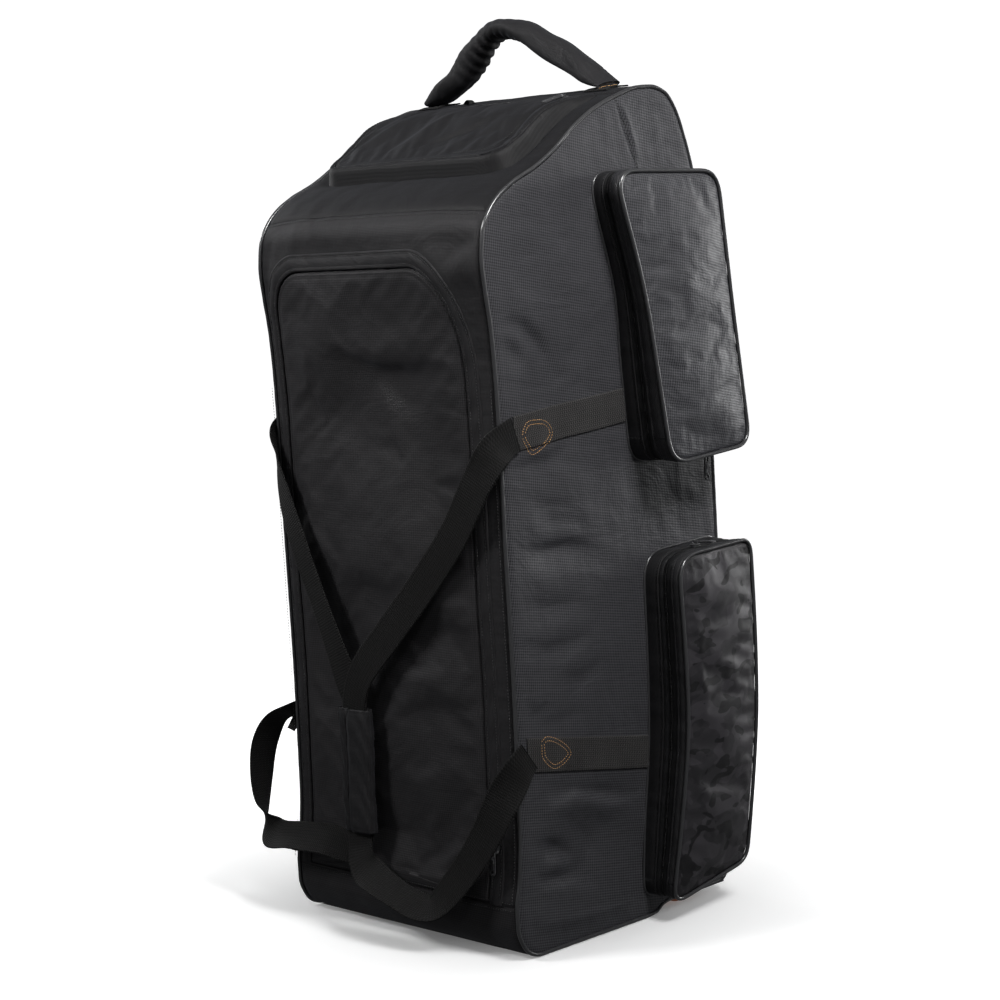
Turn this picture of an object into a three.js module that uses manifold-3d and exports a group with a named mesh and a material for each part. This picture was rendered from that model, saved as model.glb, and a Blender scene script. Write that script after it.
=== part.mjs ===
// Cricket kit bag on two wheels, standing on its end.
// Millimetres. X to the right seen from the front, Y to the back, Z up.
// The origin is the centre of the bottom end, on the floor.

import * as THREE from 'three';
import { mergeVertices } from 'three/addons/utils/BufferGeometryUtils.js';
import Module from 'manifold-3d';

const wasm = await Module();
wasm.setup();

// Driving sizes of the bag
const bagWidth = 360;
const bagDepth = 360;
const bodyHeight = 936;
const clothWall = 1.6;
const clearance = 0.3;
const pipingRadius = 2.2;
const webWidth = 38;
const webThickness = 1.9;
const zipBandWidth = 16;

// Driving sizes of the pockets
const upperDepthTop = 36;
const upperDepthBottom = 60;
const lowerDepthTop = 50;
const lowerDepthBottom = 41;
const lowerBelly = 10;
const faceBulge = 7;
const endPocketRise = 15;
const endPocketSlope = 24;

// Driving sizes of the handles
const gripLength = 141;
const gripWidth = 50;
const gripThickness = 15;
const gripWall = 1.8;
const footLength = 34;

// Driving sizes of the wheels
const wheelRadius = 42;
const wheelWidth = 25;
const wheelGap = 2.08;
const wheelSpace = 4;
const tyreThickness = 7;
const tyreShoulder = 2;
const hubFlange = 5;
const axleRadius = 4;
const hubPlay = 0.5;
const trayWall = 3;
const trayGround = 9;
const trayHeight = 96;
const trayInset = 1;
const trayFrontCorner = 30;
const trayBackCorner = 6;

// Sizes of the zip pulls
const sliderWidth = 8;
const sliderHeight = 5;
const sliderLength = 12;
const pullerWidth = 8;
const pullerLength = 30;
const pullerThickness = 1.8;
const pullerSlotTop = 2;
const sliderCorner = 2;

// Small offsets of the sewn pieces
const floorSnap = 0.4;
const wrapSkin = 0.7;
const sideProud = 1.2;
const wallPuff = 1.5;
const webTrim = 1.5;
const bedDepth = 4;
const rowLength = 30;

// Named places that follow from the sizes
const halfWidth = bagWidth / 2;
const halfDepth = bagDepth / 2;
const pipingSeat = pipingRadius + floorSnap;
const pipingX = halfWidth - pipingRadius;
const wrapHalf = pipingX - pipingRadius - clearance;
const seamInset = pipingRadius + clearance;

const colours = {
  cloth: 0x1d1d20,
  oxford: 0x23262c,
  camo: 0x202026,
  piping: 0x101012,
  webbing: 0x1c1917,
  zip: 0x121213,
  metal: 0x2a2a2c,
  plastic: 0x141414,
  tyre: 0xd05a1c,
};

const group = new THREE.Group();

const addPiece = (name, geometry, colour, roughness = 0.8, metalness = 0) => {
  const flat = geometry.index ? geometry.toNonIndexed() : geometry;
  flat.deleteAttribute('normal');
  flat.computeVertexNormals();
  const material = new THREE.MeshStandardMaterial({ color: colour, roughness, metalness });
  const mesh = new THREE.Mesh(flat, material);
  mesh.name = name;
  group.add(mesh);
  return mesh;
};

// Helpers for closed meshes

const clamp = (value, low, high) => Math.min(high, Math.max(low, value));
const mix = (a, b, t) => a + (b - a) * t;
const smooth = (low, high, value) => {
  const t = clamp((value - low) / (high - low), 0, 1);
  return t * t * (3 - 2 * t);
};
const hump = (t) => Math.sin(Math.PI * clamp(t, 0, 1));

const meshFrom = (vertices, triangles) => {
  const geometry = new THREE.BufferGeometry();
  geometry.setAttribute('position', new THREE.Float32BufferAttribute(vertices.flat(), 3));
  geometry.setIndex(triangles.flat());
  return geometry;
};

// A sheet with an outer and an inner face, both given as functions of two shares.
const closedSheet = (columns, rows, outer, inner) => {
  const vertices = [];
  for (const face of [outer, inner]) {
    for (let j = 0; j <= rows; j += 1) {
      for (let i = 0; i <= columns; i += 1) vertices.push(face(i / columns, j / rows, i, j));
    }
  }
  const stride = columns + 1;
  const back = stride * (rows + 1);
  const triangles = [];
  const quad = (a, b, c, d) => triangles.push([a, b, c], [a, c, d]);
  for (let j = 0; j < rows; j += 1) {
    for (let i = 0; i < columns; i += 1) {
      const k = j * stride + i;
      quad(k, k + 1, k + stride + 1, k + stride);
      quad(back + k, back + k + stride, back + k + stride + 1, back + k + 1);
    }
  }
  for (let i = 0; i < columns; i += 1) {
    const top = rows * stride + i;
    quad(i, back + i, back + i + 1, i + 1);
    quad(top, top + 1, back + top + 1, back + top);
  }
  for (let j = 0; j < rows; j += 1) {
    const left = j * stride;
    const right = left + columns;
    quad(left, left + stride, back + left + stride, back + left);
    quad(right, back + right, back + right + stride, right + stride);
  }
  return meshFrom(vertices, triangles);
};

// Rings of equal point counts, joined in order; the last ring joins the first when looped.
const joinRings = (rings, looped) => {
  const count = rings[0].length;
  const triangles = [];
  const steps = looped ? rings.length : rings.length - 1;
  for (let r = 0; r < steps; r += 1) {
    const next = (r + 1) % rings.length;
    for (let k = 0; k < count; k += 1) {
      const a = r * count + k;
      const b = r * count + ((k + 1) % count);
      const c = next * count + ((k + 1) % count);
      const d = next * count + k;
      triangles.push([a, b, c], [a, c, d]);
    }
  }
  if (!looped) {
    const last = (rings.length - 1) * count;
    for (let k = 1; k < count - 1; k += 1) {
      triangles.push([0, k + 1, k], [last, last + k, last + k + 1]);
    }
  }
  return outward(meshFrom(rings.flat(), triangles));
};

// Turns a closed mesh inside out when its volume is negative.
function outward(geometry) {
  const p = geometry.getAttribute('position');
  const index = geometry.getIndex();
  const at = (k) => new THREE.Vector3().fromBufferAttribute(p, index.getX(k));
  let volume = 0;
  for (let k = 0; k < index.count; k += 3) {
    volume += at(k).dot(at(k + 1).cross(at(k + 2)));
  }
  if (volume < 0) {
    for (let k = 0; k < index.count; k += 3) {
      const held = index.getX(k + 1);
      index.setX(k + 1, index.getX(k + 2));
      index.setX(k + 2, held);
    }
  }
  return geometry;
}

const mirrored = (geometry) => outward(geometry.clone().scale(-1, 1, 1));

// Joins and cuts

const toSolid = (geometry) => {
  const bare = geometry.clone();
  bare.deleteAttribute('normal');
  bare.deleteAttribute('uv');
  const merged = mergeVertices(bare, 1e-4);
  return new wasm.Manifold(new wasm.Mesh({
    numProp: 3,
    vertProperties: new Float32Array(merged.getAttribute('position').array),
    triVerts: new Uint32Array(merged.getIndex().array),
  }));
};

const fromSolid = (solid) => {
  const mesh = solid.getMesh();
  const geometry = new THREE.BufferGeometry();
  const places = new Float32Array(mesh.vertProperties);
  geometry.setAttribute('position', new THREE.BufferAttribute(places, 3));
  geometry.setIndex(Array.from(mesh.triVerts));
  return geometry;
};

const keep = (geometry, tool) => fromSolid(toSolid(geometry).intersect(toSolid(tool)));
const cut = (geometry, tool) => fromSolid(toSolid(geometry).subtract(toSolid(tool)));

const axisBases = {
  x: [new THREE.Vector3(0, 1, 0), new THREE.Vector3(0, 0, 1), new THREE.Vector3(1, 0, 0)],
  y: [new THREE.Vector3(0, 0, 1), new THREE.Vector3(1, 0, 0), new THREE.Vector3(0, 1, 0)],
  z: [new THREE.Vector3(1, 0, 0), new THREE.Vector3(0, 1, 0), new THREE.Vector3(0, 0, 1)],
};

// An outline pushed along one axis. Along X its points are (y, z), along Y (z, x), along Z (x, y).
const prism = (points, axis, from, to) => {
  const shape = new THREE.Shape(points.map(([a, b]) => new THREE.Vector2(a, b)));
  const geometry = new THREE.ExtrudeGeometry(shape, { depth: to - from, bevelEnabled: false });
  geometry.translate(0, 0, from);
  geometry.applyMatrix4(new THREE.Matrix4().makeBasis(...axisBases[axis]));
  return geometry;
};

const block = (x0, x1, y0, y1, z0, z1) => {
  const geometry = new THREE.BoxGeometry(x1 - x0, y1 - y0, z1 - z0);
  geometry.translate((x0 + x1) / 2, (y0 + y1) / 2, (z0 + z1) / 2);
  return geometry;
};

// An outline with rounded corners, from a short table of corners {a, b, r}.
const roundedOutline = (corners, steps) => {
  const points = [];
  corners.forEach((corner, k) => {
    const before = corners[(k + corners.length - 1) % corners.length];
    const after = corners[(k + 1) % corners.length];
    const tip = new THREE.Vector2(corner.a, corner.b);
    const toBefore = new THREE.Vector2(before.a, before.b).sub(tip).normalize();
    const toAfter = new THREE.Vector2(after.a, after.b).sub(tip).normalize();
    const start = tip.clone().addScaledVector(toBefore, corner.r);
    const end = tip.clone().addScaledVector(toAfter, corner.r);
    const bend = new THREE.QuadraticBezierCurve(start, tip, end);
    const bendSteps = corner.r > 0 ? steps : 0;
    if (bendSteps === 0) points.push([corner.a, corner.b]);
    else bend.getPoints(bendSteps).forEach((q) => points.push([q.x, q.y]));
  });
  return points;
};

// Moves each point of a closed outline sideways; positive is inward for a
// counter-clockwise outline.
const insetOutline = (points, distance) => points.map((point, k) => {
  const before = points[(k + points.length - 1) % points.length];
  const after = points[(k + 1) % points.length];
  const first = new THREE.Vector2(point[0] - before[0], point[1] - before[1]).normalize();
  const second = new THREE.Vector2(after[0] - point[0], after[1] - point[1]).normalize();
  const inwardFirst = new THREE.Vector2(-first.y, first.x);
  const inwardSecond = new THREE.Vector2(-second.y, second.x);
  const way = inwardFirst.clone().add(inwardSecond).normalize();
  const reach = distance / Math.max(0.5, way.dot(inwardFirst));
  return [point[0] + way.x * reach, point[1] + way.y * reach];
});

// A round cord along a closed loop of [x, y, z] points that lies near a plane across X.
const loopCord = (points, radius, sides) => {
  const rings = points.map((point, k) => {
    const before = points[(k + points.length - 1) % points.length];
    const after = points[(k + 1) % points.length];
    const along = new THREE.Vector3(...after).sub(new THREE.Vector3(...before)).normalize();
    const side = new THREE.Vector3(1, 0, 0).addScaledVector(along, -along.x).normalize();
    const out = new THREE.Vector3().crossVectors(side, along);
    return Array.from({ length: sides }, (_, n) => {
      const angle = (2 * Math.PI * n) / sides;
      const p = new THREE.Vector3(...point);
      p.addScaledVector(side, radius * Math.cos(angle));
      p.addScaledVector(out, radius * Math.sin(angle));
      return p.toArray();
    });
  });
  return joinRings(rings, true);
};

// Side outline: the seam line seen from the side, from the tray's front over the
// bottom, front, shoulder and crest to the tray's back. Shares of depth and height.
const sideOutline = [
  { y: 0.172, z: 0.0092, seam: 'trayFront' },
  { y: 0.135, z: 0.0015 },
  { y: 0.080, z: 0 },
  { y: -0.080, z: 0 },
  { y: -0.240, z: 0 },
  { y: -0.400, z: 0 },
  { y: -0.440, z: 0.0045 },
  { y: -0.474, z: 0.018 },
  { y: -0.492, z: 0.038 },
  { y: -0.493, z: 0.062, seam: 'kick' },
  { y: -0.478, z: 0.095 },
  { y: -0.467, z: 0.163 },
  { y: -0.467, z: 0.285 },
  { y: -0.472, z: 0.400 },
  { y: -0.478, z: 0.500 },
  { y: -0.481, z: 0.590 },
  { y: -0.487, z: 0.670 },
  { y: -0.498, z: 0.727 },
  { y: -0.514, z: 0.768 },
  { y: -0.524, z: 0.803 },
  { y: -0.516, z: 0.833 },
  { y: -0.486, z: 0.856, seam: 'shoulder' },
  { y: -0.440, z: 0.874 },
  { y: -0.372, z: 0.890 },
  { y: -0.290, z: 0.904 },
  { y: -0.197, z: 0.925 },
  { y: -0.105, z: 0.952 },
  { y: -0.005, z: 0.974 },
  { y: 0.105, z: 0.990, seam: 'crest' },
  { y: 0.180, z: 0.998 },
  { y: 0.255, z: 1.000 },
  { y: 0.315, z: 0.994 },
  { y: 0.362, z: 0.976 },
  { y: 0.402, z: 0.944 },
  { y: 0.440, z: 0.900, seam: 'back' },
  { y: 0.466, z: 0.840 },
  { y: 0.482, z: 0.750 },
  { y: 0.489, z: 0.640 },
  { y: 0.494, z: 0.530 },
  { y: 0.499, z: 0.420 },
  { y: 0.500, z: 0.310 },
  { y: 0.500, z: 0.200 },
  { y: 0.500, z: 0.112, seam: 'trayBack' },
  { y: 0.500, z: 0.052 },
  { y: 0.490, z: 0.021 },
  { y: 0.462, z: 0.0125 },
  { y: 0.330, z: 0.0115 },
  { y: 0.215, z: 0.0115 },
];

const outlinePlaces = sideOutline.map((row) => ({
  y: row.y * bagDepth,
  z: pipingSeat + row.z * (bodyHeight - pipingSeat),
  seam: row.seam,
}));

const outlineNormals = outlinePlaces.map((place, k) => {
  const before = outlinePlaces[(k + outlinePlaces.length - 1) % outlinePlaces.length];
  const after = outlinePlaces[(k + 1) % outlinePlaces.length];
  const along = new THREE.Vector2(after.y - before.y, after.z - before.z).normalize();
  return { y: -along.y, z: along.x };
});

const seamRow = (name) => outlinePlaces.findIndex((place) => place.seam === name);

// The outline's place and outward direction at a row number that may be fractional.
const outlineAt = (row) => {
  const low = clamp(Math.floor(row), 0, outlinePlaces.length - 2);
  const t = row - low;
  const a = outlinePlaces[low];
  const b = outlinePlaces[low + 1];
  const na = outlineNormals[low];
  const nb = outlineNormals[low + 1];
  const n = new THREE.Vector2(mix(na.y, nb.y, t), mix(na.z, nb.z, t)).normalize();
  return { y: mix(a.y, b.y, t), z: mix(a.z, b.z, t), ny: n.x, nz: n.y };
};

// Folds and hollows of the wrap: place across and along as shares of the half width
// and the height, radii as shares of the same, depth as a share of the bag's depth.
const wrapDents = [
  { x: -0.10, z: 0.640, across: 0.42, along: 0.050, depth: -0.022 },
  { x: 0.48, z: 0.560, across: 0.30, along: 0.070, depth: -0.012 },
  { x: -0.45, z: 0.700, across: 0.35, along: 0.060, depth: 0.016 },
  { x: 0.10, z: 0.450, across: 0.60, along: 0.110, depth: 0.014 },
  { x: -0.55, z: 0.330, across: 0.30, along: 0.080, depth: -0.010 },
  { x: 0.20, z: 0.250, across: 0.50, along: 0.080, depth: 0.012 },
  { x: 0.15, z: 0.110, across: 0.70, along: 0.028, depth: -0.012 },
  { x: -0.20, z: 0.815, across: 0.60, along: 0.022, depth: -0.012 },
];

const frontLift = (x, z) => {
  const across = x / halfWidth;
  const up = z / bodyHeight;
  const belly = 0.024 * bagDepth * (1 - across ** 4) * smooth(0.02, 0.12, up);
  let lift = belly * (1 - smooth(0.86, 0.94, up));
  for (const dent of wrapDents) {
    const far = ((across - dent.x) / dent.across) ** 2 + ((up - dent.z) / dent.along) ** 2;
    lift += dent.depth * bagDepth * Math.exp(-far) * (1 - across ** 8);
  }
  return lift;
};

const crestLift = (x) => 0.007 * bagDepth * (1 - (x / halfWidth) ** 4);
const seatedZ = (z) => (Math.abs(z) < floorSnap ? 0 : z);

// Outer skin of the wrap at a place across and a row of the outline.
const wrapPoint = (x, row, raise) => {
  const place = outlineAt(row);
  const down = Math.max(0, -place.nz) ** 6;
  const upward = Math.max(0, place.nz);
  const forward = Math.max(0, -place.ny);
  const skin = mix(wrapSkin, pipingSeat, down);
  const bulge = forward * frontLift(x, place.z) + upward * crestLift(x);
  const lift = skin + bulge + raise;
  return [x, place.y + place.ny * lift, seatedZ(place.z + place.nz * lift)];
};

// A panel of the wrap between two seams, wall thick, raised above the skin.
const wrapPanel = ({ from, to, left = -wrapHalf, right = wrapHalf, columns, split = 1, raise }) => {
  const first = typeof from === 'number' ? from : seamRow(from);
  const last = typeof to === 'number' ? to : seamRow(to);
  const rows = Math.round((last - first) * split);
  const lift = raise ?? (() => 0);
  const seam = clearance / rowLength;
  const rowAt = (v) => mix(first + seam, last - seam, v);
  const xAt = (u) => mix(left, right, u);
  return closedSheet(
    columns,
    rows,
    (u, v) => wrapPoint(xAt(u), rowAt(v), lift(xAt(u), rowAt(v))),
    (u, v) => {
      const outer = wrapPoint(xAt(u), rowAt(v), lift(xAt(u), rowAt(v)));
      const place = outlineAt(rowAt(v));
      return [outer[0], outer[1] - place.ny * clothWall, outer[2] - place.nz * clothWall];
    },
  );
};

// Front of the bag: border, zip cover and flap, cut from one bowed sheet

const flapLeft = -0.425 * bagWidth;
const flapRight = 0.388 * bagWidth;
const flapTop = 0.799 * bodyHeight;
const flapCornerWide = 0.19 * bagWidth;
const flyWidth = 0.052 * bagWidth;
const flyRaise = 1.4;
const flapRaise = 0.6;
const flapSteps = 5;

// The U outline as (z, x) points, grown outward by a margin; its legs run below the seam.
const flapOutline = (margin) => {
  const foot = -0.1 * bodyHeight;
  const left = flapLeft - margin;
  const right = flapRight + margin;
  const top = flapTop + margin;
  const corner = flapCornerWide + margin;
  const leftArc = [];
  const rightArc = [];
  for (let k = 0; k <= flapSteps; k += 1) {
    const angle = (Math.PI / 2) * (k / flapSteps);
    const near = 1 - Math.cos(angle);
    const high = Math.sin(angle);
    leftArc.push([top - corner * 0.8 * (1 - high), left + corner * 0.7 * near]);
    rightArc.push([top - corner * 1.7 * (1 - high), right - corner * near]);
  }
  return [[foot, left], ...leftArc, ...rightArc.reverse(), [foot, right]];
};

const frontSheet = (raise) => wrapPanel({
  from: 'kick', to: 'shoulder', columns: 8, split: 1, raise: () => raise,
});
const frontPrism = (margin) => {
  const points = flapOutline(margin).reverse();
  return outward(mergeVertices(prism(points, 'y', -2 * bagDepth, 0)));
};

addPiece('front_frame', cut(frontSheet(0), frontPrism(flyWidth)), colours.cloth, 0.75);
addPiece(
  'zip_fly',
  cut(keep(frontSheet(flyRaise), frontPrism(flyWidth - clearance)), frontPrism(0)),
  colours.cloth,
  0.7,
);
addPiece('main_flap', keep(frontSheet(flapRaise), frontPrism(-clearance)), colours.cloth, 0.75);
addPiece('front_kick', wrapPanel({ from: 6, to: 'kick', columns: 8 }), colours.cloth, 0.75);
addPiece('bottom_panel', wrapPanel({ from: 'trayFront', to: 6, columns: 4 }), colours.plastic, 0.7);
addPiece('top_panel', wrapPanel({ from: 'shoulder', to: 'crest', columns: 8 }), colours.cloth, 0.75);
addPiece('crest_panel', wrapPanel({ from: 'crest', to: 'back', columns: 8 }), colours.oxford, 0.7);
addPiece('back_panel', wrapPanel({ from: 'back', to: 'trayBack', columns: 4 }), colours.cloth, 0.8);

// Raised pocket on the slanted top

const endFront = -0.315 * bagDepth;
const endBack = 0.105 * bagDepth;
const endHalf = 0.425 * bagWidth;
const endCorner = 0.11 * bagWidth;
const endBackCorner = 0.05 * bagWidth;
const endLine = (inset) => roundedOutline([
  { a: inset - endHalf * 0.93, b: endFront + inset, r: endCorner - inset * 0.5 },
  { a: endHalf * 0.93 - inset, b: endFront + inset, r: endCorner - inset * 0.5 },
  { a: endHalf - inset, b: endBack - inset, r: endBackCorner - inset * 0.5 },
  { a: inset - endHalf, b: endBack - inset, r: endBackCorner - inset * 0.5 },
], 5);
const endOutline = endLine(0);

// Distance from a point inside an outline to its nearest edge.
const depthInside = (points, a, b) => {
  let nearest = Infinity;
  points.forEach((point, k) => {
    const after = points[(k + 1) % points.length];
    const edge = new THREE.Vector2(after[0] - point[0], after[1] - point[1]);
    const away = new THREE.Vector2(a - point[0], b - point[1]);
    const t = clamp(away.dot(edge) / edge.lengthSq(), 0, 1);
    nearest = Math.min(nearest, away.addScaledVector(edge, -t).length());
  });
  return nearest;
};

const pocketSeat = clothWall + clearance;
const endRaise = (x, row) => {
  const place = outlineAt(row);
  const inside = depthInside(endOutline, x, place.y);
  const within = Math.abs(x) < endHalf && place.y > endFront && place.y < endBack;
  const climb = within ? smooth(0, endPocketSlope, inside) : 0;
  const fade = 1 - 0.85 * smooth(-0.12, 0.09, place.y / bagDepth);
  return pocketSeat + endPocketRise * climb * fade;
};
const endSheet = () => wrapPanel({
  from: seamRow('shoulder') + 1, to: 'crest', columns: 10, split: 1.25, raise: endRaise,
});
const endPrism = (inset) => prism(endLine(inset), 'z', 0, 2 * bodyHeight);
const endZipLine = 0.85 * endPocketSlope;

addPiece(
  'end_gusset',
  cut(keep(endSheet(), endPrism(0)), endPrism(endZipLine)),
  colours.cloth,
  0.75,
);
const lidShape = keep(endSheet(), endPrism(endZipLine + clearance));
const endLid = addPiece('end_lid', lidShape, colours.cloth, 0.75);

// Side panels

// Folds of the side cloth, in shares of depth and height, depth as a share of width.
const sideDents = [
  { y: -0.25, z: 0.640, across: 0.14, along: 0.100, depth: -0.016 },
  { y: -0.05, z: 0.760, across: 0.20, along: 0.060, depth: 0.012 },
  { y: -0.28, z: 0.440, across: 0.13, along: 0.080, depth: -0.012 },
  { y: -0.12, z: 0.340, across: 0.16, along: 0.060, depth: 0.010 },
  { y: -0.15, z: 0.120, across: 0.18, along: 0.045, depth: -0.016 },
  { y: -0.22, z: 0.045, across: 0.25, along: 0.018, depth: 0.008 },
];
const sideBelly = 0.010 * bagWidth;

const sideSkin = (y, z) => {
  const across = y / halfDepth;
  const up = z / bodyHeight;
  let lift = sideBelly * Math.max(0, 1 - across ** 4) * hump(up);
  for (const dent of sideDents) {
    const far = ((y / bagDepth - dent.y) / dent.across) ** 2 + ((up - dent.z) / dent.along) ** 2;
    lift += dent.depth * bagWidth * Math.exp(-far) * Math.max(0, 1 - across ** 8);
  }
  return pipingX + sideProud + lift;
};

const sideColumns = 6;
const sideRows = 13;
const sideOuterLine = outlinePlaces.map((place) => [place.y, place.z]).reverse();
const sidePanelPrism = prism(insetOutline(sideOuterLine, seamInset), 'x', 0, bagWidth);
const sideSheet = (front, back) => {
  const yAt = (u) => mix(-0.56 * bagDepth, 0.54 * bagDepth, u);
  const zAt = (v) => mix(-0.01 * bodyHeight, 1.01 * bodyHeight, v);
  return closedSheet(
    sideColumns,
    sideRows,
    (u, v) => [sideSkin(yAt(u), zAt(v)) + front, yAt(u), zAt(v)],
    (u, v) => [sideSkin(yAt(u), zAt(v)) + back, yAt(u), zAt(v)],
  );
};
const rightPanel = keep(sideSheet(0, -clothWall), sidePanelPrism);
addPiece('side_panel_right', rightPanel, colours.oxford, 0.7);
addPiece('side_panel_left', mirrored(rightPanel), colours.oxford, 0.7);

// What is sewn to the side is trimmed to the side's own facets, a clearance above them.
const sideBed = sideSheet(clearance, -0.1 * bagWidth);
const trimmedToSide = (geometry) => cut(geometry, sideBed);

const pipingLine = outlinePlaces.map((place) => [pipingX, place.y, place.z]);
const sidePiping = loopCord(pipingLine, pipingRadius, 5);
addPiece('piping_right', sidePiping, colours.piping, 0.35);
addPiece('piping_left', mirrored(sidePiping), colours.piping, 0.35);

// Box pockets on the right side

// Corners in shares of depth and height, radius as a share of depth.
const upperCorners = [
  { y: 0.078, z: 0.556, r: 0.070 },
  { y: 0.466, z: 0.568, r: 0.060 },
  { y: 0.442, z: 0.745, r: 0 },
  { y: 0.428, z: 0.899, r: 0.045 },
  { y: -0.060, z: 0.899, r: 0.045 },
  { y: 0.030, z: 0.760, r: 0.12 },
];
const lowerCorners = [
  { y: 0.070, z: 0.026, r: 0.060 },
  { y: 0.438, z: 0.052, r: 0.045 },
  { y: 0.470, z: 0.240, r: 0 },
  { y: 0.484, z: 0.452, r: 0.040 },
  { y: 0.122, z: 0.445, r: 0.090 },
  { y: 0.128, z: 0.240, r: 0.12 },
];

const cornerSteps = 3;
const zipSink = 0.8;
const pocketOutline = (corners) => roundedOutline(corners.map((corner) => ({
  a: corner.y * bagDepth,
  b: corner.z * bodyHeight,
  r: corner.r * bagDepth,
})), cornerSteps);

const addPocket = (name, corners, depthTop, depthBottom, belly, faceColour) => {
  const line = pocketOutline(corners);
  const heights = line.map(([, z]) => z);
  const low = Math.min(...heights);
  const high = Math.max(...heights);
  const faceX = (z) => {
    const t = clamp((z - low) / (high - low), 0, 1);
    return halfWidth + mix(depthBottom, depthTop, t) + belly * hump(t);
  };
  const seatX = (y, z) => sideSkin(y, z) - bedDepth;

  // A strip of the pocket's wall between two shares of its depth.
  const wallRing = (from, to, wall, sink) => {
    const outer = insetOutline(line, sink);
    const inner = insetOutline(line, sink + wall);
    const bulged = insetOutline(line, sink - wallPuff);
    const at = (points, share) => points.map(([y, z]) => {
      const seat = seatX(y, z);
      return [mix(seat, faceX(z), share), y, z];
    });
    return joinRings([
      at(outer, from),
      at(from < 0.5 ? outer : bulged, (from + to) / 2),
      at(outer, to),
      at(inner, to),
      at(inner, from),
    ], true);
  };
  const zipFrom = 0.40;
  const zipTo = zipFrom + zipBandWidth / (depthBottom * 1.05);
  const seam = clearance / depthTop;
  addPiece(
    `${name}_gusset`,
    trimmedToSide(wallRing(0, zipFrom - seam, clothWall, 0)),
    colours.oxford,
    0.75,
  );
  addPiece(`${name}_zip`, wallRing(zipFrom, zipTo, clothWall, zipSink), colours.zip, 0.6);
  addPiece(`${name}_rim`, wallRing(zipTo + seam, 1, clothWall, 0), colours.oxford, 0.75);

  const edge = insetOutline(line, seamInset + pipingRadius * 0.2);
  const cordLine = insetOutline(line, pipingRadius * 0.2).map(([y, z]) => [
    faceX(z) + pipingRadius + clearance, y, z,
  ]);
  addPiece(`${name}_piping`, loopCord(cordLine, pipingRadius, 5), colours.piping, 0.35);
  const widths = line.map(([y]) => y);
  const near = Math.min(...widths);
  const far = Math.max(...widths);
  const faceSkin = (y, z) => {
    const inside = depthInside(line, y, z);
    return faceX(z) + pipingRadius * 0.6 + faceBulge * smooth(0, 0.1 * bagDepth, inside);
  };
  const yAt = (u) => mix(near, far, u);
  const zAt = (v) => mix(low, high, v);
  const sheet = closedSheet(
    5,
    9,
    (u, v) => [faceSkin(yAt(u), zAt(v)) + clothWall, yAt(u), zAt(v)],
    (u, v) => [faceSkin(yAt(u), zAt(v)), yAt(u), zAt(v)],
  );
  addPiece(`${name}_face`, keep(sheet, prism(edge, 'x', 0, bagWidth)), faceColour, 0.65);
  return { line, faceX, low, high };
};

const upperPocket = addPocket(
  'upper', upperCorners, upperDepthTop, upperDepthBottom, 0, colours.oxford,
);
const lowerPocket = addPocket(
  'lower', lowerCorners, lowerDepthTop, lowerDepthBottom, lowerBelly, colours.camo,
);

// Webbing sewn to the sides

// Both ends as shares of depth and height.
const sideWebs = {
  upper: { y0: -0.430, z0: 0.6065, y1: 0.075, z1: 0.6270, hiddenY: 0.480 },
  lower: { y0: -0.430, z0: 0.2390, y1: 0.128, z1: 0.2045, hiddenY: 0.480 },
};

const sideWeb = (row, endShare) => {
  const slope = (row.z1 - row.z0) / (row.y1 - row.y0);
  const yAt = (u) => mix(row.y0, endShare, u) * bagDepth;
  const middle = (u) => (row.z0 + slope * (mix(row.y0, endShare, u) - row.y0)) * bodyHeight;
  const zAt = (u, v) => middle(u) + (v - 0.5) * webWidth;
  const columns = Math.max(4, Math.round((endShare - row.y0) * 10));
  const seat = (u, v) => sideSkin(yAt(u), zAt(u, v)) + clearance;
  return trimmedToSide(closedSheet(
    columns,
    2,
    (u, v) => [seat(u, v) + webThickness, yAt(u), zAt(u, v)],
    (u, v) => [seat(u, v) - bedDepth, yAt(u), zAt(u, v)],
  ));
};

const pocketEdgeAt = (line, height) => {
  let edge = Infinity;
  line.forEach(([y, z], k) => {
    const [nextY, nextZ] = line[(k + 1) % line.length];
    if ((z - height) * (nextZ - height) <= 0 && z !== nextZ) {
      edge = Math.min(edge, mix(y, nextY, (height - z) / (nextZ - z)));
    }
  });
  return edge;
};
const webEnd = (row, line) => {
  const low = pocketEdgeAt(line, row.z1 * bodyHeight - webWidth / 2);
  const high = pocketEdgeAt(line, row.z1 * bodyHeight + webWidth / 2);
  return (Math.min(low, high) - webTrim) / bagDepth;
};
const upperWeb = sideWebs.upper;
const lowerWeb = sideWebs.lower;
const leftWeb = (row) => mirrored(sideWeb(row, row.hiddenY - seamInset / bagDepth));
addPiece('web_upper_right', sideWeb(upperWeb, webEnd(upperWeb, upperPocket.line)), colours.webbing);
addPiece('web_lower_right', sideWeb(lowerWeb, webEnd(lowerWeb, lowerPocket.line)), colours.webbing);
addPiece('web_upper_left', leftWeb(upperWeb), colours.webbing);
addPiece('web_lower_left', leftWeb(lowerWeb), colours.webbing);

// Carry straps

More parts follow.
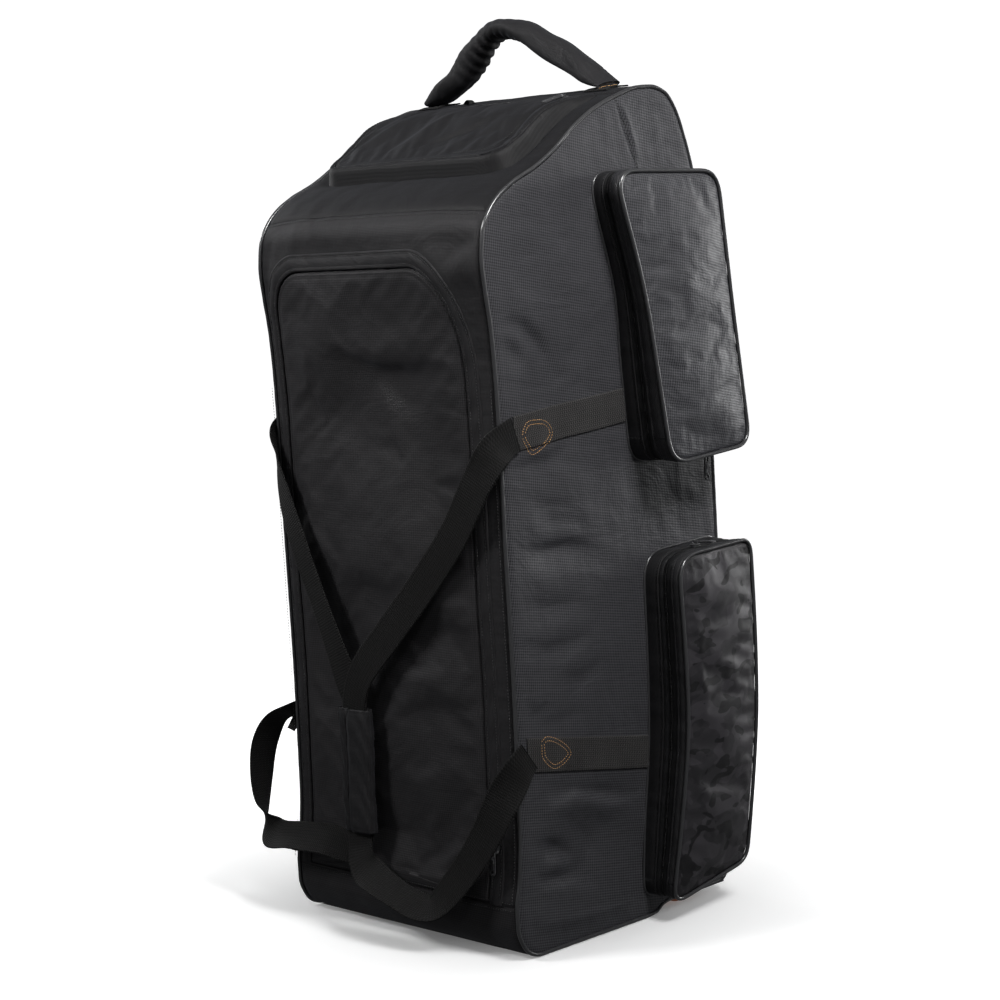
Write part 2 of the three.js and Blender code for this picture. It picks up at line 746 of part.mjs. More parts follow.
// A flat band through stations: places as shares of half width, half depth and height,
// turn is the way the band faces (0 front, 90 right), tip tilts its face up; degrees.
const bandThrough = (stations, width, thickness, steps) => {
  const places = stations.map((s) => new THREE.Vector3(
    s.x * halfWidth, s.y * halfDepth, s.z * bodyHeight,
  ));
  const facings = stations.map((s) => {
    const turn = THREE.MathUtils.degToRad(s.turn);
    const tip = THREE.MathUtils.degToRad(s.tip);
    return new THREE.Vector3(
      Math.sin(turn) * Math.cos(tip), -Math.cos(turn) * Math.cos(tip), Math.sin(tip),
    );
  });
  const route = new THREE.CatmullRomCurve3(places, false, 'centripetal');
  const facing = new THREE.CatmullRomCurve3(facings, false, 'centripetal');
  const rings = [];
  for (let k = 0; k <= steps; k += 1) {
    const t = k / steps;
    const middle = route.getPoint(t);
    const along = route.getTangent(t);
    const face = facing.getPoint(t);
    const side = new THREE.Vector3().crossVectors(along, face).normalize();
    const normal = new THREE.Vector3().crossVectors(side, along).normalize();
    const corner = (a, b) => middle.clone()
      .addScaledVector(side, a * width / 2)
      .addScaledVector(normal, b * thickness / 2)
      .toArray();
    rings.push([corner(-1, -1), corner(1, -1), corner(1, 1), corner(-1, 1)]);
  }
  return joinRings(rings, false);
};

const rightStations = [
  { x: 1.021, y: -0.862, z: 0.6070, turn: 88, tip: 0 },
  { x: 1.022, y: -0.935, z: 0.6020, turn: 78, tip: 0 },
  { x: 1.008, y: -1.034, z: 0.5890, turn: 38, tip: 4 },
  { x: 0.900, y: -1.078, z: 0.5560, turn: 12, tip: 4 },
  { x: 0.700, y: -1.090, z: 0.4950, turn: 8, tip: 2 },
  { x: 0.400, y: -1.095, z: 0.4300, turn: 8, tip: 0 },
  { x: 0.100, y: -1.118, z: 0.3690, turn: 4, tip: 0 },
  { x: -0.140, y: -1.126, z: 0.3200, turn: 0, tip: 0 },
  { x: -0.238, y: -1.106, z: 0.2830, turn: 0, tip: 0 },
  { x: -0.250, y: -1.102, z: 0.2400, turn: 0, tip: 0 },
  { x: -0.250, y: -1.102, z: 0.1600, turn: 0, tip: 0 },
  { x: -0.245, y: -1.106, z: 0.1200, turn: 0, tip: 0 },
  { x: -0.190, y: -1.145, z: 0.0900, turn: 6, tip: 12 },
  { x: -0.060, y: -1.165, z: 0.0780, turn: 16, tip: 44 },
  { x: 0.150, y: -1.165, z: 0.0640, turn: 20, tip: 60 },
  { x: 0.350, y: -1.150, z: 0.0590, turn: 12, tip: 54 },
  { x: 0.540, y: -1.140, z: 0.0710, turn: 2, tip: 30 },
  { x: 0.700, y: -1.120, z: 0.1000, turn: 2, tip: 10 },
  { x: 0.850, y: -1.098, z: 0.1480, turn: 8, tip: 4 },
  { x: 0.960, y: -1.060, z: 0.1890, turn: 25, tip: 0 },
  { x: 1.022, y: -0.960, z: 0.2240, turn: 70, tip: 0 },
  { x: 1.021, y: -0.862, z: 0.2385, turn: 88, tip: 0 },
];

const leftStations = [
  { x: -1.021, y: -0.862, z: 0.6070, turn: -88, tip: 0 },
  { x: -1.020, y: -0.945, z: 0.5970, turn: -78, tip: 0 },
  { x: -0.965, y: -1.035, z: 0.5680, turn: -35, tip: 4 },
  { x: -0.840, y: -1.075, z: 0.5200, turn: -18, tip: 4 },
  { x: -0.700, y: -1.092, z: 0.4680, turn: -14, tip: 2 },
  { x: -0.550, y: -1.090, z: 0.4050, turn: -14, tip: 0 },
  { x: -0.420, y: -1.084, z: 0.3480, turn: -8, tip: 0 },
  { x: -0.320, y: -1.080, z: 0.3050, turn: 0, tip: 0 },
  { x: -0.258, y: -1.083, z: 0.2830, turn: 0, tip: 0 },
  { x: -0.250, y: -1.084, z: 0.2400, turn: 0, tip: 0 },
  { x: -0.250, y: -1.084, z: 0.1600, turn: 0, tip: 0 },
  { x: -0.250, y: -1.087, z: 0.1200, turn: 0, tip: 0 },
  { x: -0.330, y: -1.080, z: 0.1040, turn: -2, tip: 6 },
  { x: -0.600, y: -1.088, z: 0.1060, turn: -4, tip: 34 },
  { x: -0.900, y: -1.080, z: 0.1020, turn: -8, tip: 44 },
  { x: -1.200, y: -1.030, z: 0.0970, turn: -30, tip: 34 },
  { x: -1.305, y: -1.000, z: 0.1220, turn: -62, tip: 16 },
  { x: -1.325, y: -0.985, z: 0.1650, turn: -86, tip: 6 },
  { x: -1.290, y: -0.970, z: 0.2080, turn: -98, tip: 10 },
  { x: -1.190, y: -0.945, z: 0.2400, turn: -94, tip: 30 },
  { x: -1.090, y: -0.905, z: 0.2480, turn: -90, tip: 34 },
  { x: -1.021, y: -0.862, z: 0.2385, turn: -88, tip: 0 },
];

addPiece('strap_right', bandThrough(rightStations, webWidth, webThickness, 40), colours.webbing);
addPiece('strap_left', bandThrough(leftStations, webWidth, webThickness, 40), colours.webbing);

// Grip wrap: a flat sleeve round both straps

const gripX = -0.250 * halfWidth;
const gripY = -1.093 * halfDepth;
const gripMiddle = 0.2010 * bodyHeight;

const flatRing = (width, thickness, z) => {
  const points = [];
  const sides = 12;
  for (let k = 0; k < sides; k += 1) {
    const angle = (2 * Math.PI * k) / sides;
    const a = Math.cos(angle);
    const b = Math.sin(angle);
    const wide = Math.sign(a) * Math.abs(a) ** 0.5 * width / 2;
    const thick = Math.sign(b) * Math.abs(b) ** 0.6 * thickness / 2;
    points.push([gripX + wide, gripY + thick, z]);
  }
  return points;
};
const gripBottom = gripMiddle - gripLength / 2;
const gripTop = gripMiddle + gripLength / 2;
const innerWidth = gripWidth - 2 * gripWall;
const innerThickness = gripThickness - 2 * gripWall;
addPiece('grip_wrap', joinRings([
  flatRing(gripWidth * 0.96, gripThickness, gripBottom),
  flatRing(gripWidth, gripThickness, gripMiddle),
  flatRing(gripWidth * 1.04, gripThickness, gripTop),
  flatRing(innerWidth * 1.04, innerThickness, gripTop),
  flatRing(innerWidth, innerThickness, gripMiddle),
  flatRing(innerWidth * 0.96, innerThickness, gripBottom),
], true), colours.webbing, 0.85);

// Top handle: a padded tube whose ends flatten onto two feet

const handleY = 0.185 * bagDepth;
const handleRise = 0.079 * bodyHeight;
const crestTopAt = (x, y) => {
  for (let row = seamRow('shoulder'); row < seamRow('back'); row += 1) {
    const here = wrapPoint(x, row, 0);
    const next = wrapPoint(x, row + 1, 0);
    if (next[1] >= y) return mix(here[2], next[2], (y - here[1]) / (next[1] - here[1]));
  }
  return bodyHeight;
};
const footSeat = crestTopAt(0.37 * bagWidth, handleY) + clearance;

// Places across as shares of width, rise above the feet as a share of the handle's
// rise, half sizes as shares of the strap's width.
const handleStations = [
  { x: -0.375, rise: 0.045, flat: 0.06, wide: 0.50 },
  { x: -0.350, rise: 0.085, flat: 0.13, wide: 0.48 },
  { x: -0.300, rise: 0.230, flat: 0.33, wide: 0.44 },
  { x: -0.245, rise: 0.400, flat: 0.45, wide: 0.46 },
  { x: -0.190, rise: 0.620, flat: 0.46, wide: 0.46 },
  { x: -0.130, rise: 0.860, flat: 0.38, wide: 0.44 },
  { x: -0.080, rise: 0.990, flat: 0.31, wide: 0.44 },
  { x: -0.020, rise: 1.000, flat: 0.30, wide: 0.44 },
  { x: 0.060, rise: 0.880, flat: 0.33, wide: 0.44 },
  { x: 0.140, rise: 0.680, flat: 0.34, wide: 0.44 },
  { x: 0.220, rise: 0.480, flat: 0.32, wide: 0.45 },
  { x: 0.290, rise: 0.290, flat: 0.24, wide: 0.47 },
  { x: 0.345, rise: 0.120, flat: 0.13, wide: 0.50 },
  { x: 0.380, rise: 0.045, flat: 0.06, wide: 0.50 },
];
const handleSides = 8;
const footThickness = webThickness;
const handlePlaces = handleStations.map((s) => new THREE.Vector2(
  (s.x - 0.006) * bagWidth, footSeat + footThickness + clearance + s.rise * handleRise,
));
const handleRings = handleStations.map((s, k) => {
  const before = handlePlaces[Math.max(0, k - 1)];
  const after = handlePlaces[Math.min(handlePlaces.length - 1, k + 1)];
  const along = after.clone().sub(before).normalize();
  const ring = [];
  for (let n = 0; n < handleSides; n += 1) {
    const angle = (2 * Math.PI * (n + 0.5)) / handleSides;
    const up = Math.sin(angle) * s.flat * webWidth;
    const wide = Math.cos(angle) * s.wide * webWidth;
    ring.push([handlePlaces[k].x - along.y * up, handleY + wide, handlePlaces[k].y + along.x * up]);
  }
  return ring;
});
addPiece('top_handle', joinRings(handleRings, false), colours.webbing, 0.85);

const handleFoot = (side) => {
  const outer = 0.375 * bagWidth + footLength * 0.45;
  const inner = outer - footLength;
  const xAt = (u) => side * (side > 0 ? mix(inner, outer, u) : mix(outer, inner, u));
  const yAt = (v) => handleY + (v - 0.5) * webWidth;
  const seat = (u, v) => crestTopAt(xAt(u), yAt(v)) + 2 * clearance;
  return closedSheet(
    4,
    3,
    (u, v) => [xAt(u), yAt(v), seat(u, v) + footThickness],
    (u, v) => [xAt(u), yAt(v), seat(u, v)],
  );
};
addPiece('handle_foot_left', handleFoot(-1), colours.webbing);
addPiece('handle_foot_right', handleFoot(1), colours.webbing);

// Wheels and their moulded tray

const trayHalf = pipingX - clearance - clothWall - sideBelly;
const trayFront = outlinePlaces[seamRow('trayFront')].y + trayInset;
const trayBack = halfDepth - trayInset;
const outerCheek = trayHalf - trayWall;
const wheelX = outerCheek - wheelSpace - wheelWidth / 2;
const wheelY = trayFront + trayWall + wheelGap + wheelRadius;
const trayLine = roundedOutline([
  { a: trayFront, b: trayGround, r: 0 },
  { a: trayBack, b: trayGround, r: 0 },
  { a: trayBack, b: trayHeight, r: trayBackCorner },
  { a: trayFront, b: trayHeight, r: trayFrontCorner },
], 3);
const trayShell = prism(trayLine, 'x', -trayHalf, trayHalf);
const cavityLine = roundedOutline([
  { a: trayFront + trayWall, b: -trayHeight, r: 0 },
  { a: trayBack - trayWall, b: -trayHeight, r: 0 },
  { a: trayBack - trayWall, b: trayHeight - trayWall, r: trayBackCorner },
  { a: trayFront + trayWall, b: trayHeight - trayWall, r: trayFrontCorner - trayWall / 2 },
], 3);
const innerCheek = wheelX - wheelWidth / 2 - wheelSpace;
const boreSegments = 12;
const axleBore = new THREE.CylinderGeometry(
  axleRadius + clearance, axleRadius + clearance, 2.2 * bagWidth, boreSegments,
);
axleBore.rotateZ(Math.PI / 2);
axleBore.translate(0, wheelY, wheelRadius);
const wheelCavity = prism(cavityLine, 'x', innerCheek, outerCheek);
let tray = cut(trayShell, prism(cavityLine, 'x', trayWall - innerCheek, innerCheek - trayWall));
tray = cut(tray, wheelCavity);
tray = cut(tray, mirrored(mergeVertices(wheelCavity)));
tray = cut(tray, axleBore);
addPiece('wheel_base', tray, colours.plastic, 0.5);

// A turned ring round the wheel's axis, from a closed profile of radius and place along X.
const turned = (profile, segments) => {
  const points = profile.map(([radius, along]) => new THREE.Vector2(radius, along));
  const geometry = new THREE.LatheGeometry([...points, points[0].clone()], segments);
  geometry.deleteAttribute('normal');
  geometry.deleteAttribute('uv');
  const merged = mergeVertices(geometry, 1e-3);
  merged.rotateZ(-Math.PI / 2);
  return outward(merged);
};

const wheelSegments = 18;
const rimRadius = wheelRadius - tyreThickness;
const hubBore = axleRadius + hubPlay;
const hubHalf = wheelWidth / 2 + wheelSpace - 2 * clearance;
const axleEnd = outerCheek + trayWall - clearance;
for (const [side, name] of [[-1, 'left'], [1, 'right']]) {
  const tyre = turned([
    [rimRadius, -wheelWidth / 2],
    [wheelRadius - tyreShoulder, -wheelWidth / 2],
    [wheelRadius, -wheelWidth / 2 + 1.5 * tyreShoulder],
    [wheelRadius, wheelWidth / 2 - 1.5 * tyreShoulder],
    [wheelRadius - tyreShoulder, wheelWidth / 2],
    [rimRadius, wheelWidth / 2],
  ], wheelSegments);
  const tyreMesh = addPiece(`tyre_${name}`, tyre, colours.tyre, 0.6);
  tyreMesh.position.set(side * wheelX, wheelY, wheelRadius);
  const hub = turned([
    [hubBore, -hubHalf],
    [hubBore + hubFlange, -hubHalf],
    [rimRadius - hubFlange, -wheelWidth / 4],
    [rimRadius - clearance, -wheelWidth / 2],
    [rimRadius - clearance, wheelWidth / 2],
    [rimRadius - hubFlange, wheelWidth / 4],
    [hubBore + hubFlange, hubHalf],
    [hubBore, hubHalf],
  ], wheelSegments);
  const hubMesh = addPiece(`hub_${name}`, hub, colours.plastic, 0.5);
  hubMesh.position.set(side * wheelX, wheelY, wheelRadius);
  const axleLength = axleEnd - innerCheek + trayWall;
  const axle = new THREE.CylinderGeometry(axleRadius, axleRadius, axleLength, boreSegments);
  axle.rotateZ(Math.PI / 2);
  const axleMesh = addPiece(`axle_${name}`, mergedAxle(axle), colours.metal, 0.35, 0.9);
  axleMesh.position.set(side * (axleEnd + innerCheek - trayWall) / 2, wheelY, wheelRadius);
}

function mergedAxle(geometry) {
  geometry.deleteAttribute('normal');
  geometry.deleteAttribute('uv');
  return outward(mergeVertices(geometry, 1e-4));
}

// Zip pulls

// A flat plate with a square slot above and a round hole below, hanging along -Z and
// facing -Y, with its top at the origin.
const pullerPlate = () => {
  const half = pullerWidth / 2;
  const shape = new THREE.Shape();
  shape.moveTo(-half * 0.7, 0);
  shape.lineTo(-half, -pullerLength * 0.5);
  shape.lineTo(-half, -pullerLength + half);
  shape.absarc(0, -pullerLength + half, half, Math.PI, 2 * Math.PI, false);
  shape.lineTo(half, -pullerLength * 0.5);
  shape.lineTo(half * 0.7, 0);
  const slot = new THREE.Path();
  const slotHalf = half * 0.38;
  const slotFoot = pullerSlotTop + pullerLength * 0.2;
  slot.moveTo(-slotHalf, -pullerSlotTop);
  slot.lineTo(slotHalf, -pullerSlotTop);
  slot.lineTo(slotHalf, -slotFoot);
  slot.lineTo(-slotHalf, -slotFoot);
  const eye = new THREE.Path();
  eye.absarc(0, -pullerLength + half, half * 0.5, 0, 2 * Math.PI, true);
  shape.holes.push(slot, eye);
  const depth = pullerThickness;
  const geometry = new THREE.ExtrudeGeometry(shape, {
    depth, bevelEnabled: false, curveSegments: 4,
  });
  geometry.rotateX(Math.PI / 2);
  geometry.translate(0, depth / 2, 0);
  return geometry;
};

const sliderBody = () => {
  const half = sliderWidth / 2;
  const line = roundedOutline([
    { a: -sliderLength / 2, b: -half * 0.7, r: sliderCorner },
    { a: sliderLength / 2, b: -half, r: sliderCorner },
    { a: sliderLength / 2, b: half, r: sliderCorner },
    { a: -sliderLength / 2, b: half * 0.7, r: sliderCorner },
  ], 2);
  return prism(line, 'y', 0, sliderHeight);
};

// Turns a piece so that its -Y side faces out and its -Z end points down a direction.
const orient = (mesh, place, out, down) => {
  const up = new THREE.Vector3(...down).normalize().negate();
  const back = new THREE.Vector3(...out).negate();
  back.addScaledVector(up, -back.dot(up)).normalize();
  const right = new THREE.Vector3().crossVectors(back, up);
  mesh.quaternion.setFromRotationMatrix(new THREE.Matrix4().makeBasis(right, back, up));
  mesh.position.set(...place);
};

// A slider that sits on a zip at a place, facing out, with its length along the zip, and
// a plate on it that faces and hangs its own way.
const addPull = (name, { place, out, run, face, hang }) => {
  const away = new THREE.Vector3(...out).normalize();
  const seat = new THREE.Vector3(...place).addScaledVector(away, clearance);
  const body = sliderBody().translate(0, -sliderHeight, 0);
  orient(addPiece(`${name}_slider`, body, colours.metal, 0.4, 0.8), seat.toArray(), out, run);
  const hook = seat.clone().addScaledVector(away, sliderHeight + clearance);
  hook.addScaledVector(new THREE.Vector3(...face).normalize(), pullerThickness / 2);
  orient(addPiece(`${name}_puller`, pullerPlate(), colours.metal, 0.4, 0.8), hook, face, hang);
};

const flyMiddle = flapRight + flyWidth * 0.55;
const mainPullRow = seamRow('kick') + 1.5;
const mainSpot = outlineAt(mainPullRow);
addPull('main', {
  place: wrapPoint(flyMiddle, mainPullRow, flyRaise),
  out: [0, mainSpot.ny, mainSpot.nz],
  run: [0, mainSpot.nz, -mainSpot.ny],
  face: [0, mainSpot.ny, mainSpot.nz],
  hang: [0, -mainSpot.nz, mainSpot.ny],
});

// Height of a pocket outline's upper or lower edge at a place along Y.
const edgeHeight = (line, along, pick) => {
  const heights = [];
  line.forEach(([y, z], k) => {
    const [nextY, nextZ] = line[(k + 1) % line.length];
    if ((y - along) * (nextY - along) <= 0 && y !== nextY) {
      heights.push(mix(z, nextZ, (along - y) / (nextY - y)));
    }
  });
  return pick(...heights);
};
const edgeSlope = (line, along, pick) => {
  const reach = sliderLength / 2;
  const rise = edgeHeight(line, along + reach, pick) - edgeHeight(line, along - reach, pick);
  return rise / (2 * reach);
};

const lowerPullY = 0.29 * bagDepth;
const lowerPullX = halfWidth + lowerDepthTop * 0.55;
const lowerSlope = edgeSlope(lowerPocket.line, lowerPullY, Math.max);
addPull('lower', {
  place: [lowerPullX, lowerPullY, edgeHeight(lowerPocket.line, lowerPullY, Math.max) - zipSink],
  out: [0, -lowerSlope, 1],
  run: [0, 1, lowerSlope],
  face: [0, -lowerSlope, 1],
  hang: [1, 0, 0.05],
});

const upperPullY = 0.345 * bagDepth;
const upperPullX = halfWidth + upperDepthBottom * 0.52;
const upperSlope = edgeSlope(upperPocket.line, upperPullY, Math.min);
addPull('upper', {
  place: [upperPullX, upperPullY, edgeHeight(upperPocket.line, upperPullY, Math.min) + zipSink],
  out: [0, upperSlope, -1],
  run: [0, 1, upperSlope],
  face: [1, 0, 0],
  hang: [0, 0, -1],
});

// Where a vertical line meets a piece from above, and the facet's outward direction there.
const landingOn = (mesh, x, y) => {
  const ray = new THREE.Raycaster();
  ray.set(new THREE.Vector3(x, y, 2 * bodyHeight), new THREE.Vector3(0, 0, -1));
  const [hit] = ray.intersectObject(mesh);
  return { place: hit.point.toArray(), out: hit.face.normal };
};
const endPullX = endHalf - endZipLine - sliderWidth;
const endPullY = endBack - endZipLine - sliderLength;
const { place: endPlace, out: endOut } = landingOn(endLid, endPullX, endPullY);
addPull('end', {
  place: endPlace,
  out: endOut.toArray(),
  run: [0, endOut.z, -endOut.y],
  face: endOut.toArray(),
  hang: [-0.15, -endOut.z, endOut.y],
});

// Small tabs

const tabWidth = 18;
const tabLength = 22;
const sideTabY = -0.455 * bagDepth;
const sideTabZ = 0.073 * bodyHeight;
const tabSeat = -sideSkin(sideTabY, sideTabZ) - clearance;
const tab = block(
  tabSeat - tabLength, tabSeat,
  sideTabY - tabWidth / 2, sideTabY + tabWidth / 2,
  sideTabZ, sideTabZ + 2 * webThickness,
);
addPiece('side_tab', tab, colours.webbing);

const crestTabX = -0.18 * bagWidth;
const crestTabY = 0.135 * bagDepth;
const crestTabSeat = crestTopAt(crestTabX, crestTabY + tabWidth / 4) + clearance;
const crestTab = block(
  crestTabX - tabWidth / 3, crestTabX + tabWidth / 3,
  crestTabY - tabWidth / 4, crestTabY + tabWidth / 4,
  crestTabSeat, crestTabSeat + 2 * webThickness,
);
addPiece('crest_tab', crestTab, colours.webbing);

export default group;
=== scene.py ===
import bpy
import math
import numpy as np
from mathutils import Matrix, Vector
from mathutils.bvhtree import BVHTree
from mathutils.geometry import delaunay_2d_cdt


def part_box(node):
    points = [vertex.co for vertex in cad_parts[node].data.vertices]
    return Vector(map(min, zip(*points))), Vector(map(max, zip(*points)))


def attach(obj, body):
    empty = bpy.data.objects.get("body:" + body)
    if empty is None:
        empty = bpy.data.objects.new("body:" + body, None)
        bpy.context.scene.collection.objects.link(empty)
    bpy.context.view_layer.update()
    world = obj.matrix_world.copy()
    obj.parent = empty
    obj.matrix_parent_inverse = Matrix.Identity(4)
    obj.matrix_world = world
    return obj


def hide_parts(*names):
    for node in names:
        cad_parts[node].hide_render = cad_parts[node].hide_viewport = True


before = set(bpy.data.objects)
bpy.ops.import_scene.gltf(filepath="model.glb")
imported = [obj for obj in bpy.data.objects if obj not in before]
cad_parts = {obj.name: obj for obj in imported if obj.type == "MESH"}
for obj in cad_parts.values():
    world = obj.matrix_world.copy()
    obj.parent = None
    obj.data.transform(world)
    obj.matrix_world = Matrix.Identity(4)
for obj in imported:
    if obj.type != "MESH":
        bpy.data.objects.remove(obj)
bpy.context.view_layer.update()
print("frame loaded:", len(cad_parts), "solids")

# sizes that the pieces share, in metres; x right, y back, z up, floor at 0
bag = {
    "width": 0.360, "depth": 0.360, "height": 0.936,
    "clearance": 0.0003, "pipingRadius": 0.0022, "wrapSkin": 0.0007,
    "webWidth": 0.038, "webThickness": 0.0019,
}
halfWidth, halfDepth = bag["width"] / 2, bag["depth"] / 2
pipingSeat = bag["pipingRadius"] + 0.0004
pipingX = halfWidth - bag["pipingRadius"]
wrapHalf = pipingX - bag["pipingRadius"] - bag["clearance"]
sideX = pipingX + 0.0012


def ramp(low, high, value):
    t = np.clip((np.asarray(value, float) - low) / (high - low), 0, 1)
    return t * t * (3 - 2 * t)


def hump(t):
    return np.sin(np.pi * np.clip(t, 0, 1))


def runLength(line):
    return np.concatenate([[0], np.cumsum(np.linalg.norm(np.diff(line, axis=0), axis=1))])


# the bag's outline seen from the side, shares of depth and height, closed

sideOutline = {
    "places": [
        (0.172, 0.0092), (0.135, 0.0015), (0.080, 0), (-0.080, 0), (-0.240, 0), (-0.400, 0),
        (-0.440, 0.0045), (-0.474, 0.018), (-0.492, 0.038), (-0.493, 0.062), (-0.478, 0.095),
        (-0.467, 0.163), (-0.467, 0.285), (-0.472, 0.400), (-0.478, 0.500), (-0.481, 0.590),
        (-0.487, 0.670), (-0.498, 0.727), (-0.514, 0.768), (-0.524, 0.803), (-0.516, 0.833),
        (-0.486, 0.856), (-0.440, 0.874), (-0.372, 0.890), (-0.290, 0.904), (-0.197, 0.925),
        (-0.105, 0.952), (-0.005, 0.974), (0.105, 0.990), (0.180, 0.998), (0.255, 1.000),
        (0.315, 0.994), (0.362, 0.976), (0.402, 0.944), (0.440, 0.900), (0.466, 0.840),
        (0.482, 0.750), (0.489, 0.640), (0.494, 0.530), (0.499, 0.420), (0.500, 0.310),
        (0.500, 0.200), (0.500, 0.112), (0.500, 0.052), (0.490, 0.021), (0.462, 0.0125),
        (0.330, 0.0115), (0.215, 0.0115),
    ],
    "seams": {"trayFront": 0, "floorFront": 6, "kick": 9, "shoulder": 21, "crest": 28,
              "back": 34, "trayBack": 42},
    "fine": 24,  # steps from one place to the next
}


def smoothLoop(places, fine):
    p = np.asarray(places, float)
    n = len(p)
    step = np.roll(p, -1, 0) - p
    h = np.linalg.norm(step, axis=1)[:, None]
    d = step / h
    before, hb = np.roll(d, 1, 0), np.roll(h, 1, 0)
    w1, w2 = 2 * h + hb, h + 2 * hb
    same = before * d > 0
    safe = np.where(same, before, 1), np.where(same, d, 1)
    m = np.where(same, (w1 + w2) / (w1 / safe[0] + w2 / safe[1]), 0)
    out = []
    for k in range(n):
        t = (np.arange(fine) / fine)[:, None]
        a, b, ma, mb, hk = p[k], p[(k + 1) % n], m[k], m[(k + 1) % n], h[k]
        out.append((2 * t**3 - 3 * t**2 + 1) * a + (t**3 - 2 * t**2 + t) * hk * ma
                   + (3 * t**2 - 2 * t**3) * b + (t**3 - t**2) * hk * mb)
    return np.concatenate(out + [p[:1]])


outlinePlaces = np.array([
    (y * bag["depth"], pipingSeat + z * (bag["height"] - pipingSeat)) for y, z in sideOutline["places"]
])
fineLine = smoothLoop(outlinePlaces, sideOutline["fine"])
fineRow = np.arange(len(fineLine)) / sideOutline["fine"]
fineAlong = np.gradient(fineLine, axis=0)
fineAlong[0] = fineAlong[-1] = fineLine[1] - fineLine[-2]
kernel = np.ones(9) / 9
fineAlong = np.stack([
    np.convolve(np.pad(fineAlong[:, k], 4, mode="wrap"), kernel, "valid") for k in (0, 1)
], 1)
fineAlong /= np.linalg.norm(fineAlong, axis=1)[:, None]
fineLength = runLength(fineLine)
seamRow = sideOutline["seams"]


def outlineAt(row):
    def at(values):
        return np.interp(row, fineRow, values)

    ty, tz = at(fineAlong[:, 0]), at(fineAlong[:, 1])
    size = np.hypot(ty, tz)
    return at(fineLine[:, 0]), at(fineLine[:, 1]), -tz / size, ty / size


def rowAt(length):
    return np.interp(length, fineLength, fineRow)


def lengthAt(row):
    return float(np.interp(row, fineRow, fineLength))


frontRows = (fineRow >= seamRow["kick"]) & (fineRow <= seamRow["shoulder"])


def frontLengthAt(z):
    return np.interp(z, fineLine[frontRows, 1], fineLength[frontRows])


# folds of the cloth: broad dents as in the solids, and creases along short lines

def fromLine(a, b, line):
    best = np.full(np.shape(a), 9.0)
    share = np.zeros(np.shape(a))
    side = np.zeros(np.shape(a))
    pts = np.asarray(line, float)
    long = runLength(pts)
    for k in range(len(pts) - 1):
        d = pts[k + 1] - pts[k]
        t = np.clip(((a - pts[k][0]) * d[0] + (b - pts[k][1]) * d[1]) / (d @ d), 0, 1)
        fa, fb = a - pts[k][0] - t * d[0], b - pts[k][1] - t * d[1]
        far = np.hypot(fa, fb)
        near = far < best
        best = np.where(near, far, best)
        share = np.where(near, (long[k] + t * np.hypot(*d)) / long[-1], share)
        side = np.where(near, np.sign(d[0] * fb - d[1] * fa), side)
    return best, share, side


foldGain, foldSpread = 1.15, 1.5  # how far the creases stand out, and how soft they are


def creaseLift(a, b, creases):
    lift = np.zeros(np.shape(a))
    for crease in creases:
        far, share, side = fromLine(a, b, crease["line"])
        q = far * side / (crease["wide"] * foldSpread)
        body = np.exp(-np.where(q > 0, 2.6, 0.5) * q * q)
        lip = 0.55 * np.exp(-0.45 * (q - 2.0) ** 2) * ramp(0.0, 0.9, q)
        lift += foldGain * crease["deep"] * (body - lip) * hump(share) ** 1.4
    return lift


